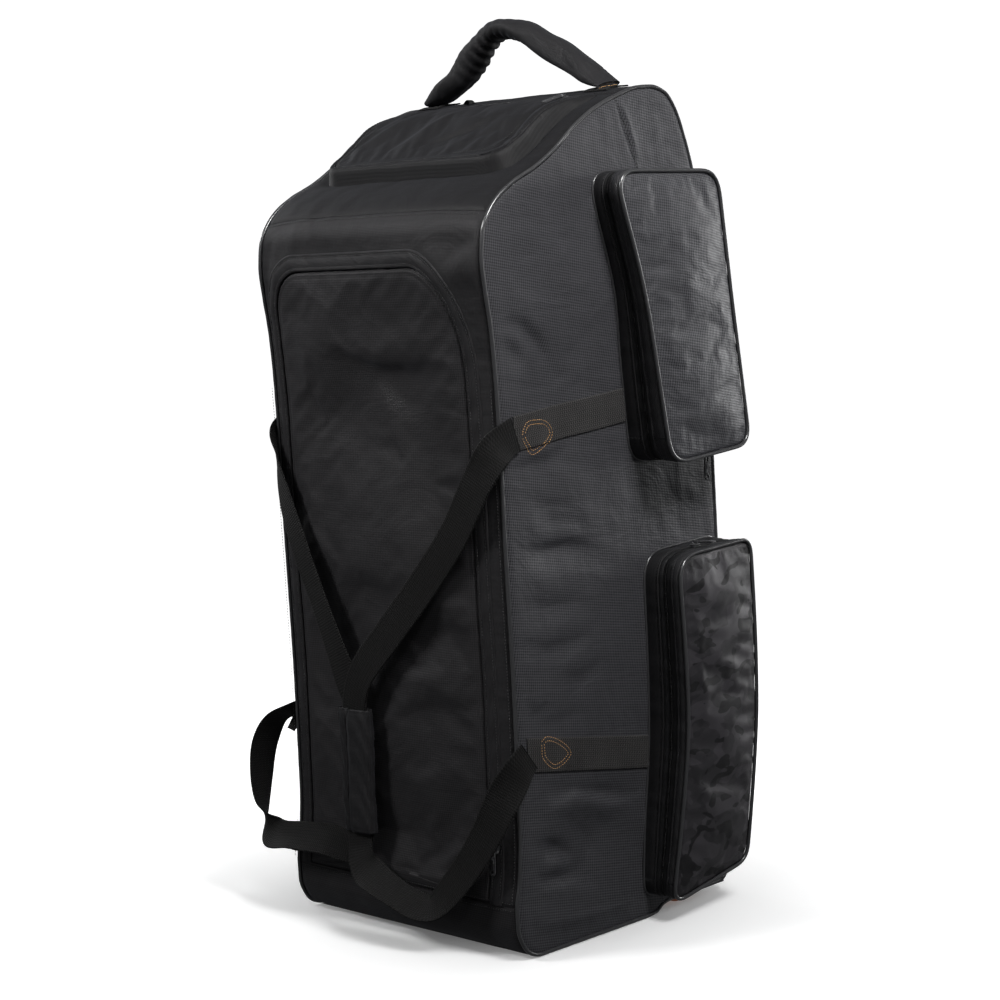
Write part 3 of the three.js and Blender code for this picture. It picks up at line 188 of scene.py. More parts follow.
frontFolds = {
    "dents": [
        (-0.10, 0.640, 0.42, 0.050, -0.022), (0.48, 0.560, 0.30, 0.070, -0.012),
        (-0.45, 0.700, 0.35, 0.060, 0.016), (0.10, 0.450, 0.60, 0.110, 0.014),
        (-0.55, 0.330, 0.30, 0.080, -0.010), (0.20, 0.250, 0.50, 0.080, 0.012),
        (0.15, 0.110, 0.70, 0.028, -0.012), (-0.20, 0.815, 0.60, 0.022, -0.012),
    ],
    "creases": [
        {"line": [(-0.085, 0.637), (-0.042, 0.647), (0.004, 0.633), (0.061, 0.633), (0.123, 0.638)],
         "wide": 0.011, "deep": -0.0042},
        {"line": [(-0.020, 0.640), (0.012, 0.600), (0.055, 0.560)], "wide": 0.016, "deep": 0.0030},
        {"line": [(-0.060, 0.572), (0.000, 0.548), (0.060, 0.556)], "wide": 0.014, "deep": -0.0018},
        {"line": [(-0.112, 0.616), (-0.100, 0.598), (-0.089, 0.579)], "wide": 0.006, "deep": -0.0014},
        {"line": [(0.066, 0.510), (0.107, 0.514), (0.139, 0.508)], "wide": 0.006, "deep": -0.0016},
        {"line": [(-0.080, 0.391), (-0.020, 0.393), (0.030, 0.386)], "wide": 0.009, "deep": -0.0022},
        {"line": [(0.036, 0.338), (0.089, 0.357), (0.136, 0.345)], "wide": 0.009, "deep": -0.0026},
        {"line": [(0.004, 0.298), (0.062, 0.299), (0.135, 0.316)], "wide": 0.010, "deep": 0.0020},
        {"line": [(0.000, 0.247), (0.068, 0.268), (0.132, 0.270)], "wide": 0.008, "deep": -0.0020},
        {"line": [(-0.004, 0.179), (0.063, 0.190), (0.120, 0.212)], "wide": 0.010, "deep": 0.0018},
        {"line": [(0.060, 0.084), (0.097, 0.111), (0.130, 0.124)], "wide": 0.006, "deep": 0.0022},
        {"line": [(-0.040, 0.088), (-0.001, 0.075), (0.056, 0.075)], "wide": 0.006, "deep": -0.0018},
        {"line": [(0.178, 0.784), (0.146, 0.766), (0.113, 0.745)], "wide": 0.012, "deep": -0.0040},
        {"line": [(0.146, 0.742), (0.160, 0.721), (0.173, 0.706)], "wide": 0.008, "deep": -0.0026},
        {"line": [(-0.087, 0.826), (-0.107, 0.788), (-0.125, 0.748)], "wide": 0.008, "deep": 0.0024},
        {"line": [(-0.150, 0.800), (-0.171, 0.744), (-0.168, 0.700)], "wide": 0.010, "deep": -0.0030},
        {"line": [(-0.150, 0.520), (-0.138, 0.470), (-0.146, 0.420)], "wide": 0.008, "deep": -0.0018},
        {"line": [(-0.150, 0.270), (-0.120, 0.252), (-0.090, 0.256)], "wide": 0.007, "deep": -0.0014},
        {"line": [(-0.160, 0.038), (-0.060, 0.034), (0.060, 0.036)], "wide": 0.009, "deep": 0.0012},
    ],
    "grain": 0.00045,  # height of the small uneven waves all over
}
sideFolds = {
    "dents": [
        (-0.25, 0.640, 0.14, 0.100, -0.016), (-0.05, 0.760, 0.20, 0.060, 0.012),
        (-0.28, 0.440, 0.13, 0.080, -0.012), (-0.12, 0.340, 0.16, 0.060, 0.010),
        (-0.15, 0.120, 0.18, 0.045, -0.016), (-0.22, 0.045, 0.25, 0.018, 0.008),
    ],
    "belly": 0.010,
    "creases": [
        {"line": [(-0.170, 0.691), (-0.134, 0.681), (-0.108, 0.659), (-0.088, 0.629)],
         "wide": 0.0075, "deep": -0.0040},
        {"line": [(-0.170, 0.668), (-0.143, 0.652), (-0.132, 0.630)], "wide": 0.008, "deep": -0.0028},
        {"line": [(-0.158, 0.533), (-0.116, 0.533), (-0.066, 0.542)], "wide": 0.008, "deep": -0.0030},
        {"line": [(-0.150, 0.503), (-0.103, 0.488), (-0.053, 0.485)], "wide": 0.006, "deep": -0.0012},
        {"line": [(-0.136, 0.470), (-0.088, 0.470), (-0.030, 0.461)], "wide": 0.006, "deep": -0.0012},
        {"line": [(-0.162, 0.449), (-0.121, 0.439), (-0.074, 0.440), (-0.023, 0.430)],
         "wide": 0.0065, "deep": -0.0030},
        {"line": [(-0.158, 0.389), (-0.109, 0.377), (-0.059, 0.382)], "wide": 0.007, "deep": -0.0018},
        {"line": [(-0.160, 0.344), (-0.112, 0.333), (-0.029, 0.340)], "wide": 0.007, "deep": -0.0022},
        {"line": [(-0.116, 0.307), (-0.074, 0.295), (-0.027, 0.305)], "wide": 0.007, "deep": -0.0020},
        {"line": [(-0.160, 0.279), (-0.136, 0.265), (-0.113, 0.277)], "wide": 0.006, "deep": -0.0016},
        {"line": [(-0.143, 0.138), (-0.123, 0.158), (-0.082, 0.163), (-0.025, 0.144), (0.029, 0.130)],
         "wide": 0.0065, "deep": 0.0040},
        {"line": [(-0.156, 0.118), (-0.125, 0.120), (-0.094, 0.104), (-0.075, 0.082)],
         "wide": 0.0065, "deep": -0.0030},
        {"line": [(-0.140, 0.100), (-0.112, 0.098), (-0.092, 0.088)], "wide": 0.005, "deep": 0.0030},
        {"line": [(-0.160, 0.094), (-0.127, 0.081), (-0.087, 0.078), (-0.052, 0.088)],
         "wide": 0.0055, "deep": -0.0024},
        {"line": [(-0.122, 0.180), (-0.057, 0.166), (0.026, 0.148)], "wide": 0.006, "deep": -0.0020},
        {"line": [(-0.152, 0.073), (-0.096, 0.068), (-0.046, 0.047)], "wide": 0.007, "deep": 0.0020},
        {"line": [(-0.165, 0.036), (-0.065, 0.029), (0.036, 0.022)], "wide": 0.006, "deep": 0.0018},
        {"line": [(0.026, 0.926), (0.039, 0.903), (0.060, 0.848)], "wide": 0.0018, "deep": -0.0024},
        {"line": [(-0.120, 0.560), (-0.080, 0.520), (-0.030, 0.512)], "wide": 0.012, "deep": 0.0018},
        {"line": [(-0.150, 0.420), (-0.080, 0.408), (0.010, 0.392)], "wide": 0.011, "deep": 0.0016},
        {"line": [(-0.150, 0.256), (-0.110, 0.250), (-0.060, 0.262)], "wide": 0.009, "deep": -0.0018},
        {"line": [(-0.110, 0.140), (-0.070, 0.120), (-0.040, 0.090)], "wide": 0.010, "deep": -0.0022},
        {"line": [(-0.010, 0.120), (0.020, 0.080), (0.030, 0.040)], "wide": 0.014, "deep": -0.0016},
        {"line": [(0.070, 0.500), (0.110, 0.470), (0.150, 0.468)], "wide": 0.012, "deep": -0.0014},
        {"line": [(-0.100, 0.800), (-0.070, 0.740), (-0.058, 0.700)], "wide": 0.012, "deep": 0.0014},
    ],
    "grain": 0.00045,
}


def waves(a, b, size, seed):
    field = np.zeros(np.shape(a))
    turn = np.random.default_rng(seed)
    for k in range(14):
        angle = turn.uniform(0, math.pi)
        pitch = size * 0.7 ** (k % 5)
        phase = turn.uniform(0, 2 * math.pi)
        field += np.sin(2 * math.pi * (a * math.cos(angle) + b * math.sin(angle)) / pitch + phase)
    return field / 14 * 2.2


def frontLift(x, z):
    across, up = x / halfWidth, z / bag["height"]
    belly = 0.024 * bag["depth"] * (1 - across**4) * ramp(0.02, 0.12, up)
    lift = belly * (1 - ramp(0.86, 0.94, up))
    for dx, dz, wide, high, depth in frontFolds["dents"]:
        far = ((across - dx) / wide) ** 2 + ((up - dz) / high) ** 2
        lift = lift + depth * bag["depth"] * np.exp(-far) * (1 - across**8)
    held = 1 - np.abs(across) ** 10
    lift = lift + creaseLift(x, z, frontFolds["creases"]) * held
    return lift + frontFolds["grain"] * waves(x, z, 0.085, 3) * held


def wrapPoint(x, row, raised=0.0):
    y, z, ny, nz = outlineAt(row)
    down = np.maximum(0, -nz) ** 6
    skin = bag["wrapSkin"] * (1 - down) + pipingSeat * down
    crest = 0.007 * bag["depth"] * (1 - (x / halfWidth) ** 4)
    crest = crest + 0.0005 * waves(x, y, 0.075, 8) * (1 - np.abs(x / halfWidth) ** 10)
    bulge = np.maximum(0, -ny) * frontLift(x, z) + np.maximum(0, nz) * crest
    tuck = -0.0011 * ramp(0.0055, 0.0, wrapHalf - np.abs(x)) * (1 - down)
    lift = skin + bulge + raised + tuck
    high = z + nz * lift
    return np.stack([np.broadcast_to(x, np.shape(high)), y + ny * lift,
                     np.where(np.abs(high) < 0.0004, 0, high)], -1)


def sideSkin(y, z):
    across, up = y / halfDepth, z / bag["height"]
    lift = sideFolds["belly"] * bag["width"] * np.maximum(0, 1 - across**4) * hump(up)
    for dy, dz, wide, high, depth in sideFolds["dents"]:
        far = ((y / bag["depth"] - dy) / wide) ** 2 + ((up - dz) / high) ** 2
        lift = lift + depth * bag["width"] * np.exp(-far) * np.maximum(0, 1 - across**8)
    return sideX + lift


def sideCloth(y, z, inside):
    held = ramp(0, 0.014, inside)
    fine = creaseLift(y, z, sideFolds["creases"]) + sideFolds["grain"] * waves(y, z, 0.085, 5)
    return sideSkin(y, z) + fine * held - 0.0010 * ramp(0.004, 0, inside)


# mesh helpers

def makeObject(name, verts, faces, flat=None, smooth=True):
    mesh = bpy.data.meshes.new(name)
    mesh.from_pydata([tuple(map(float, v)) for v in verts], [], [tuple(map(int, f)) for f in faces])
    if flat is not None:
        layer = mesh.uv_layers.new(name="cloth")
        loops = np.zeros(len(mesh.loops), np.int32)
        mesh.loops.foreach_get("vertex_index", loops)
        layer.data.foreach_set("uv", np.asarray(flat, np.float32)[loops].ravel())
    mesh.update()
    if smooth:
        mesh.polygons.foreach_set("use_smooth", [True] * len(mesh.polygons))
    obj = bpy.data.objects.new(name, mesh)
    bpy.context.scene.collection.objects.link(obj)
    return obj


def place(obj, material, slot=None, nodes=(), body="bag"):
    obj.data.materials.clear()
    obj.data.materials.append(material)
    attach(obj, body)
    if nodes:
        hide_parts(*nodes)
    return obj


def flatArea(obj):
    obj.data.calc_loop_triangles()
    return sum(t.area for t in obj.data.loop_triangles)


def asSheet(obj, width, length):
    area = min(flatArea(obj), width * length)


def insideLoop(points, loop):
    x, y = points[:, 0][:, None], points[:, 1][:, None]
    a, b = loop, np.roll(loop, -1, 0)
    crosses = (a[:, 1] > y) != (b[:, 1] > y)
    slope = (b[:, 0] - a[:, 0]) / np.where(b[:, 1] == a[:, 1], 1e-12, b[:, 1] - a[:, 1])
    return (crosses & (x < a[:, 0] + slope * (y - a[:, 1]))).sum(1) % 2 == 1


def fromLoop(points, loop):
    best = np.full(len(points), 9.0)
    for a, b in zip(loop, np.roll(loop, -1, 0)):
        d = b - a
        t = np.clip(((points - a) @ d) / max(d @ d, 1e-14), 0, 1)
        best = np.minimum(best, np.linalg.norm(points - a - t[:, None] * d, axis=1))
    return best


def insetLoop(loop, distance):
    before, after = np.roll(loop, 1, 0), np.roll(loop, -1, 0)
    first, second = loop - before, after - loop
    first = first / np.maximum(np.linalg.norm(first, axis=1), 1e-9)[:, None]
    second = second / np.maximum(np.linalg.norm(second, axis=1), 1e-9)[:, None]
    n1, n2 = np.stack([-first[:, 1], first[:, 0]], 1), np.stack([-second[:, 1], second[:, 0]], 1)
    way = n1 + n2
    way /= np.maximum(np.linalg.norm(way, axis=1), 1e-9)[:, None]
    reach = distance / np.maximum(0.5, (way * n1).sum(1))
    return loop + way * reach[:, None]


def evenLoop(loop, spacing, closed=True):
    p = np.asarray(loop, float)
    if closed:
        p = np.concatenate([p, p[:1]])
    s = runLength(p)
    keep = np.concatenate([[True], np.diff(s) > 1e-9])
    p, s = p[keep], s[keep]
    count = max(8, int(round(s[-1] / spacing)))
    at = np.linspace(0, s[-1], count + 1)
    if closed:
        at = at[:-1]
    return np.stack([np.interp(at, s, p[:, k]) for k in range(p.shape[1])], 1)


def leftTurn(loop):
    a, b = loop, np.roll(loop, -1, 0)
    return loop if (a[:, 0] * b[:, 1] - b[:, 0] * a[:, 1]).sum() > 0 else loop[::-1]


def fillLoop(loop, spacing, insets=(), hole=None):
    loop = leftTurn(loop)
    low, high = loop.min(0), loop.max(0)
    xs = np.arange(low[0], high[0], spacing)
    ys = np.arange(low[1], high[1], spacing * 0.866)
    gx, gy = np.meshgrid(xs, ys)
    gx = gx + (np.arange(len(ys)) % 2)[:, None] * spacing / 2
    grid = np.stack([gx.ravel(), gy.ravel()], 1)
    deep = max([0.55 * spacing] + [i + 0.55 * spacing for i in insets])
    grid = grid[insideLoop(grid, loop)]
    grid = grid[fromLoop(grid, loop) > deep]
    if hole is not None:
        grid = grid[~insideLoop(grid, hole)]
        grid = grid[fromLoop(grid, hole) > 0.5 * spacing]
    rings = []
    for i in insets:
        ring = insetLoop(loop, i)
        ok = insideLoop(ring, loop) & (fromLoop(ring, loop) > i * 0.9)
        rings.append(ring[ok])
    fixed = [loop] + ([hole] if hole is not None else [])
    count, edges, parts = 0, [], []
    for part in fixed:
        n = len(part)
        edges += [(count + k, count + (k + 1) % n) for k in range(n)]
        parts.append(part)
        count += n
    points = np.concatenate(parts + rings + [grid])
    out = delaunay_2d_cdt([Vector(p) for p in points], edges, [], 0, 1e-7)
    verts = np.array([tuple(v) for v in out[0]])
    tris = np.array([f for f in out[2] if len(f) == 3])
    middle = verts[tris].mean(1)
    ok = insideLoop(middle, loop)
    if hole is not None:
        ok &= ~insideLoop(middle, hole)
    return verts, tris[ok]


def membrane(verts, tris, edge):
    pairs = np.concatenate([tris[:, [0, 1]], tris[:, [1, 2]], tris[:, [2, 0]]])
    pairs = np.unique(np.sort(pairs, axis=1), axis=0)
    weight = 1 / np.maximum(((verts[pairs[:, 0]] - verts[pairs[:, 1]]) ** 2).sum(1), 1e-8)
    count = len(verts)
    matrix = np.zeros((count, count))
    matrix[pairs[:, 0], pairs[:, 1]] = matrix[pairs[:, 1], pairs[:, 0]] = -weight
    matrix[np.arange(count), np.arange(count)] = -matrix.sum(1)
    free = ~edge
    rise = np.zeros(count)
    rise[free] = np.linalg.solve(matrix[np.ix_(free, free)], np.ones(int(free.sum())))
    return (rise / rise.max()) ** 0.62


solver = {"frames": 12, "steps": 4, "mass": 0.25, "stiff": 12.0, "bend": 1.2}


def settle(obj, held, pressure, slack, most):
    # lets the cloth find its own folds between its seams, then keeps that shape
    count = len(obj.data.vertices)
    start = np.zeros(count * 3)
    obj.data.vertices.foreach_get("co", start)
    group = obj.vertex_groups.new(name="seam")
    group.add([int(k) for k in np.flatnonzero(held)], 1.0, "REPLACE")
    cloth = obj.modifiers.new("cloth", "CLOTH")
    cloth.settings.quality = solver["steps"]
    cloth.settings.mass = solver["mass"]
    cloth.settings.tension_stiffness = cloth.settings.compression_stiffness = solver["stiff"]
    cloth.settings.bending_stiffness = solver["bend"]
    cloth.settings.vertex_group_mass = "seam"
    cloth.settings.shrink_min = cloth.settings.shrink_max = -slack
    cloth.settings.use_pressure = True
    cloth.settings.uniform_pressure_force = pressure
    cloth.settings.effector_weights.gravity = 0
    cloth.collision_settings.use_collision = False
    cloth.point_cache.frame_start, cloth.point_cache.frame_end = 1, solver["frames"]
    scene = bpy.context.scene
    for step in range(1, solver["frames"] + 1):
        scene.frame_set(step)
    shaped = obj.evaluated_get(bpy.context.evaluated_depsgraph_get())
    ended = np.zeros(count * 3)
    shaped.data.vertices.foreach_get("co", ended)
    move = (ended - start).reshape(-1, 3)
    size = np.linalg.norm(move, axis=1)
    print("cloth", obj.name, "moved up to", round(float(size.max()) * 1000, 2), "mm")
    move *= np.minimum(1, most / np.maximum(size, 1e-9))[:, None]
    obj.modifiers.remove(cloth)
    obj.vertex_groups.remove(group)
    obj.data.vertices.foreach_set("co", start + move.ravel())
    obj.data.update()
    scene.frame_set(1)


def roundedLoop(corners, steps=12):
    tips = np.array([(c[0], c[1]) for c in corners], float)
    out = []
    for k, corner in enumerate(corners):
        r = corner[2]
        tip = tips[k]
        if r <= 0:
            out.append(tip)
            continue
        before, after = tips[k - 1] - tip, tips[(k + 1) % len(tips)] - tip
        a, b = tip + before / np.linalg.norm(before) * r, tip + after / np.linalg.norm(after) * r
        for t in np.linspace(0, 1, steps + 1):
            out.append((1 - t) ** 2 * a + 2 * t * (1 - t) * tip + t * t * b)
    return np.array(out)


def gridFaces(rows, columns, wrapColumns=False, wrapRows=False):
    faces = []
    for j in range(rows if wrapRows else rows - 1):
        for i in range(columns if wrapColumns else columns - 1):
            a, b = j * columns + i, j * columns + (i + 1) % columns
            c, d = ((j + 1) % rows) * columns + (i + 1) % columns, ((j + 1) % rows) * columns + i
            faces.append((a, b, c, d))
    return faces


def endCaps(rows, columns):
    return [tuple(range(columns)), tuple(range((rows - 1) * columns, rows * columns))[::-1]]


def unit(v):
    return v / np.maximum(np.linalg.norm(v, axis=-1, keepdims=True), 1e-12)


def tubeMesh(name, path, radius, sides=12, closed=True, hint=(1, 0, 0)):
    p = np.asarray(path, float)
    along = np.roll(p, -1, 0) - np.roll(p, 1, 0) if closed else np.gradient(p, axis=0)
    along = unit(along)
    side = unit(np.asarray(hint, float) - (along @ np.asarray(hint, float))[:, None] * along)
    out = np.cross(side, along)
    s = runLength(p)
    angle = 2 * np.pi * np.arange(sides) / sides
    radii = np.broadcast_to(radius, len(p))[:, None, None]
    rings = p[:, None] + radii * (side[:, None] * np.cos(angle)[None, :, None]
                                  + out[:, None] * np.sin(angle)[None, :, None])
    flat = np.stack([np.repeat(s, sides), np.tile(angle * float(np.mean(radius)), len(p))], 1)
    faces = gridFaces(len(p), sides, True, closed)
    if not closed:
        faces += endCaps(len(p), sides)
    return makeObject(name, rings.reshape(-1, 3), faces, flat)


def catmull(points, steps):
    p = np.asarray(points, float)
    p = np.concatenate([[2 * p[0] - p[1]], p, [2 * p[-1] - p[-2]]])
    out = []
    spans = len(p) - 3
    for u in np.linspace(0, spans, steps + 1):
        k = min(int(u), spans - 1)
        t = u - k
        q = p[k:k + 4]
        knots = [0]
        for i in range(3):
            gap = max(float(np.sum((q[i + 1] - q[i]) ** 2)) ** 0.25, 1e-6)
            knots.append(knots[-1] + gap)
        x = knots[1] + t * (knots[2] - knots[1])

        def lerp(a, b, i, j):
            reach = knots[j] - knots[i]
            return (knots[j] - x) / reach * a + (x - knots[i]) / reach * b

        a1, a2, a3 = lerp(q[0], q[1], 0, 1), lerp(q[1], q[2], 1, 2), lerp(q[2], q[3], 2, 3)
        b1, b2 = lerp(a1, a2, 0, 2), lerp(a2, a3, 1, 3)
        out.append(lerp(b1, b2, 1, 2))
    return np.array(out)


# shader helpers

class Sock:
    def __init__(self, tree, link):
        self.tree, self.link = tree, link

    def math(self, operation, *others, swap=False):
        values = [self, *others]
        if swap:
            values = [others[0], self]
        return add(self.tree, "ShaderNodeMath", {"operation": operation}, values)

    def __add__(self, other): return self.math("ADD", other)
    def __radd__(self, other): return self.math("ADD", other)
    def __sub__(self, other): return self.math("SUBTRACT", other)
    def __rsub__(self, other): return self.math("SUBTRACT", other, swap=True)
    def __mul__(self, other): return self.math("MULTIPLY", other)
    def __rmul__(self, other): return self.math("MULTIPLY", other)
    def __truediv__(self, other): return self.math("DIVIDE", other)
    def sin(self): return self.math("SINE")
    def clip(self): return self.math("MAXIMUM", 0.0).math("MINIMUM", 1.0)
    def between(self, low, high): return ((self - low) / (high - low)).clip()


def feed(tree, socket, value):
    if isinstance(value, Sock):
        tree.links.new(value.link, socket)
    else:
        socket.default_value = value


def add(tree, kind, settings, inputs, output=0):
    node = tree.nodes.new(kind)
    for key, value in settings.items():
        setattr(node, key, value)
    pairs = inputs.items() if isinstance(inputs, dict) else enumerate(inputs)
    for key, value in pairs:
        feed(tree, node.inputs[key], value)
    return Sock(tree, node.outputs[output])


def mixColour(tree, share, a, b):
    # by number, because the colour sockets of this node share their names with others
    return add(tree, "ShaderNodeMix", {"data_type": "RGBA", "blend_type": "MIX"}, {0: share, 6: a, 7: b}, 2)


def newMaterial(name):
    material = bpy.data.materials.new(name)
    material.use_nodes = True
    tree = material.node_tree
    shader = tree.nodes["Principled BSDF"]
    return material, tree, shader


def finishShader(tree, shader, base, roughness, height, depth, constants):
    for key, value in constants.items():
        shader.inputs[key].default_value = value
    feed(tree, shader.inputs["Base Color"], base)
    feed(tree, shader.inputs["Roughness"], roughness)
    if height is not None:
        bump = add(tree, "ShaderNodeBump", {}, {"Strength": 1.0, "Distance": depth, "Height": height})
        tree.links.new(bump.link, shader.inputs["Normal"])


def clothPlace(tree):
    where = add(tree, "ShaderNodeUVMap", {"uv_map": "cloth"}, {})
    u = add(tree, "ShaderNodeSeparateXYZ", {}, [where], 0)
    v = add(tree, "ShaderNodeSeparateXYZ", {}, [where], 1)
    return where, u, v


def noise(tree, where, scale, detail=3.0, rough=0.55, distort=0.0, stretch=None):
    if stretch is not None:
        where = add(tree, "ShaderNodeMapping", {}, {"Vector": where, "Scale": stretch})
    return add(tree, "ShaderNodeTexNoise", {}, {
        "Vector": where, "Scale": scale, "Detail": detail, "Roughness": rough, "Distortion": distort})


def wovenCloth(name, look):
    material, tree, shader = newMaterial(name)
    where, u, v = clothPlace(tree)
    turn = look.get("turn", 0.0)
    a = u * math.cos(turn) + v * math.sin(turn)
    b = v * math.cos(turn) - u * math.sin(turn)
    warp = (a * (2 * math.pi / look["pitch"])).sin()
    weft = (b * (2 * math.pi / look["pitch"])).sin()
    weave = warp * weft * 0.5 + 0.5
    slub = noise(tree, where, 1.0, 2.0, 0.5, 0.0, look["slub"])
    cross = noise(tree, where, 1.0, 2.0, 0.5, 0.0, look["slub"][::-1])
    patch = noise(tree, where, 14.0, 4.0, 0.6)
    shade = (weave * look["weave"] + slub * look["thread"] + cross * look["thread"]
             + patch * look["patch"])
    low = look["weave"] * 0.1 + look["thread"] * 0.7 + look["patch"] * 0.3
    high = look["weave"] * 0.9 + look["thread"] * 1.3 + look["patch"] * 0.7
    tone = shade.between(low, high)
    base = mixColour(tree, tone, look["dark"], look["light"])
    rough = tone * -0.10 + look["roughness"] + 0.05
    rumple = noise(tree, where, 11.0, 4.0, 0.5, 1.4, (1.0, 1.5, 1.0))
    height = weave * 0.55 + slub * 0.35 + cross * 0.25 + rumple * look.get("rumple", 9.0)
    finishShader(tree, shader, base, rough, height, look["bump"], {
        "Sheen Weight": look["sheen"], "Sheen Roughness": look.get("sheenRough", 0.45),
        "Sheen Tint": look.get("sheenTint", (0.8, 0.85, 1.0, 1.0)),
        "Specular IOR Level": look.get("specular", 0.35)})
    return material


clothLooks = {
    "front": {"pitch": 0.0036, "turn": 0.78, "slub": (500, 300, 1), "weave": 1.6, "thread": 0.6,
              "patch": 0.6, "dark": (0.0085, 0.0080, 0.0087, 1), "light": (0.0330, 0.0312, 0.0330, 1),
              "roughness": 0.64, "bump": 0.00018, "sheen": 0.04, "specular": 0.22},
    # painted shade: a darker copy of the front cloth for the top, crest and end pocket panels, darkening the
    # upward faces in place of shade
    "top": {"pitch": 0.0021, "turn": 0.78, "slub": (500, 170, 1), "weave": 1.2, "thread": 0.6,
            "patch": 0.7, "dark": (0.0030, 0.0028, 0.0031, 1), "light": (0.0104, 0.0098, 0.0106, 1),
            "roughness": 0.60, "bump": 0.00018, "sheen": 0.04, "specular": 0.22},
    "fly": {"pitch": 0.0021, "turn": 0.78, "slub": (500, 170, 1), "weave": 0.9, "thread": 0.9,
            "patch": 0.6, "dark": (0.0070, 0.0066, 0.0072, 1), "light": (0.0260, 0.0247, 0.0262, 1),
            "roughness": 0.62, "bump": 0.00018, "sheen": 0.04, "specular": 0.22},
    "side": {"pitch": 0.0042, "turn": 0.62, "slub": (320, 220, 1), "weave": 2.2, "thread": 0.6,
             "patch": 0.4, "dark": (0.0085, 0.0084, 0.0096, 1),
             "light": (0.0760, 0.0750, 0.0820, 1), "roughness": 0.54, "bump": 0.00030,
             "sheen": 0.05, "specular": 0.32},
    "pocket": {"pitch": 0.0042, "turn": 0.62, "slub": (320, 220, 1), "weave": 2.2, "thread": 0.6,
               "patch": 0.4, "dark": (0.0090, 0.0090, 0.0104, 1),
               "light": (0.0820, 0.0815, 0.0890, 1), "roughness": 0.50, "bump": 0.00030,
               "sheen": 0.05, "specular": 0.36},
    # painted shade: the pocket gussets get a darker copy of the pocket oxford, standing in for the shade next
    # to the side panel
    "wall": {"pitch": 0.0021, "turn": 0.78, "slub": (500, 170, 1), "weave": 0.9, "thread": 0.9,
             "patch": 0.6, "dark": (0.0050, 0.0048, 0.0053, 1), "light": (0.0165, 0.0160, 0.0172, 1),
             "roughness": 0.60, "bump": 0.00018, "sheen": 0.03, "specular": 0.25},
    # painted shade: the pocket rims get a copy of the pocket oxford, darker than the face and lighter than
    # the gusset wall, as light falls on the pocket's side walls
    "rim": {"pitch": 0.0030, "slub": (150, 500, 1), "weave": 0.5, "thread": 1.4,
            "patch": 0.5, "dark": (0.0090, 0.0088, 0.0096, 1), "light": (0.0340, 0.0335, 0.0355, 1),
            "roughness": 0.58, "bump": 0.00030, "sheen": 0.03, "specular": 0.3},
    "bottom": {"pitch": 0.0024, "slub": (500, 170, 1), "weave": 0.8, "thread": 0.8, "patch": 0.9,
               "dark": (0.0060, 0.0060, 0.0064, 1), "light": (0.0170, 0.0170, 0.0182, 1),
               "roughness": 0.68, "bump": 0.00020, "sheen": 0.02, "specular": 0.2},
    "grip": {"pitch": 0.0018, "slub": (600, 200, 1), "weave": 0.8, "thread": 0.8, "patch": 0.8,
             "dark": (0.0056, 0.0053, 0.0058, 1), "light": (0.0190, 0.0182, 0.0194, 1),
             "roughness": 0.66, "bump": 0.00018, "sheen": 0.05, "specular": 0.22},
}
frontCloth = wovenCloth("front_cloth", clothLooks["front"])
topClothPaintedShade = wovenCloth("top_cloth_painted_shade", clothLooks["top"])
flyCloth = wovenCloth("fly_cloth", clothLooks["fly"])
sideOxford = wovenCloth("side_oxford", clothLooks["side"])
pocketCloth = wovenCloth("pocket_oxford", clothLooks["pocket"])
bottomCloth = wovenCloth("bottom_cloth", clothLooks["bottom"])
gripCloth = wovenCloth("grip_cloth", clothLooks["grip"])
wallClothPaintedShade = wovenCloth("wall_cloth_painted_shade", clothLooks["wall"])
rimClothPaintedShade = wovenCloth("rim_cloth_painted_shade", clothLooks["rim"])


def camoCloth():
    material, tree, shader = newMaterial("camo_cloth")
    where, u, v = clothPlace(tree)
    warped = noise(tree, where, 26.0, 2.0, 0.5)
    big = noise(tree, where, 30.0, 1.6, 0.55, 0.6, (0.8, 1.25, 1.0))
    small = noise(tree, where, 43.0, 1.5, 0.5, 0.7, (0.8, 1.2, 1.0))
    deep = noise(tree, where, 36.0, 1.4, 0.5, 0.5, (0.9, 1.25, 1.0))
    pale = big.between(0.515, 0.525)
    dark = (deep * 0.7 + small * 0.3).between(0.555, 0.563)
    mid = small.between(0.53, 0.54) * (1 - pale)
    weave = (u * (2 * math.pi / 0.0012)).sin() * (v * (2 * math.pi / 0.0012)).sin() * 0.5 + 0.5
    base = mixColour(tree, pale, (0.0260, 0.0243, 0.0275, 1), (0.0430, 0.0400, 0.0450, 1))
    base = mixColour(tree, mid * 0.8, base, (0.0150, 0.0140, 0.0162, 1))
    base = mixColour(tree, dark, base, (0.0055, 0.0050, 0.0062, 1))
    rough = 0.40 + pale * -0.06 + dark * 0.16 + warped * 0.08
    height = weave * 0.5 + warped * 0.4 - dark * 0.15
    finishShader(tree, shader, base, rough, height, 0.00022, {
        "Sheen Weight": 0.02, "Specular IOR Level": 0.40})
    return material


def ribbedWeb(name, look):
    material, tree, shader = newMaterial(name)
    where, u, v = clothPlace(tree)
    rib = (u * (2 * math.pi / look["rib"])).sin()
    thread = (v * (2 * math.pi / look["thread"])).sin()
    stagger = ((u * (1 / look["rib"]) + v * (0.5 / look["thread"])) * (2 * math.pi)).sin()
    fuzz = noise(tree, where, 900.0, 2.0, 0.6)
    patch = noise(tree, where, 30.0, 3.0, 0.6)
    weave = rib * 0.35 + thread * 0.20 + stagger * 0.25 + 0.5
    tone = (weave * 0.8 + fuzz * 0.7 + patch * 0.5).between(0.45, 1.45)
    base = mixColour(tree, tone, look["dark"], look["light"])
    rough = 0.78 - tone * 0.10
    finishShader(tree, shader, base, rough, weave + fuzz * 0.5, look["bump"], {
        "Sheen Weight": 0.03, "Specular IOR Level": 0.18})
    return material


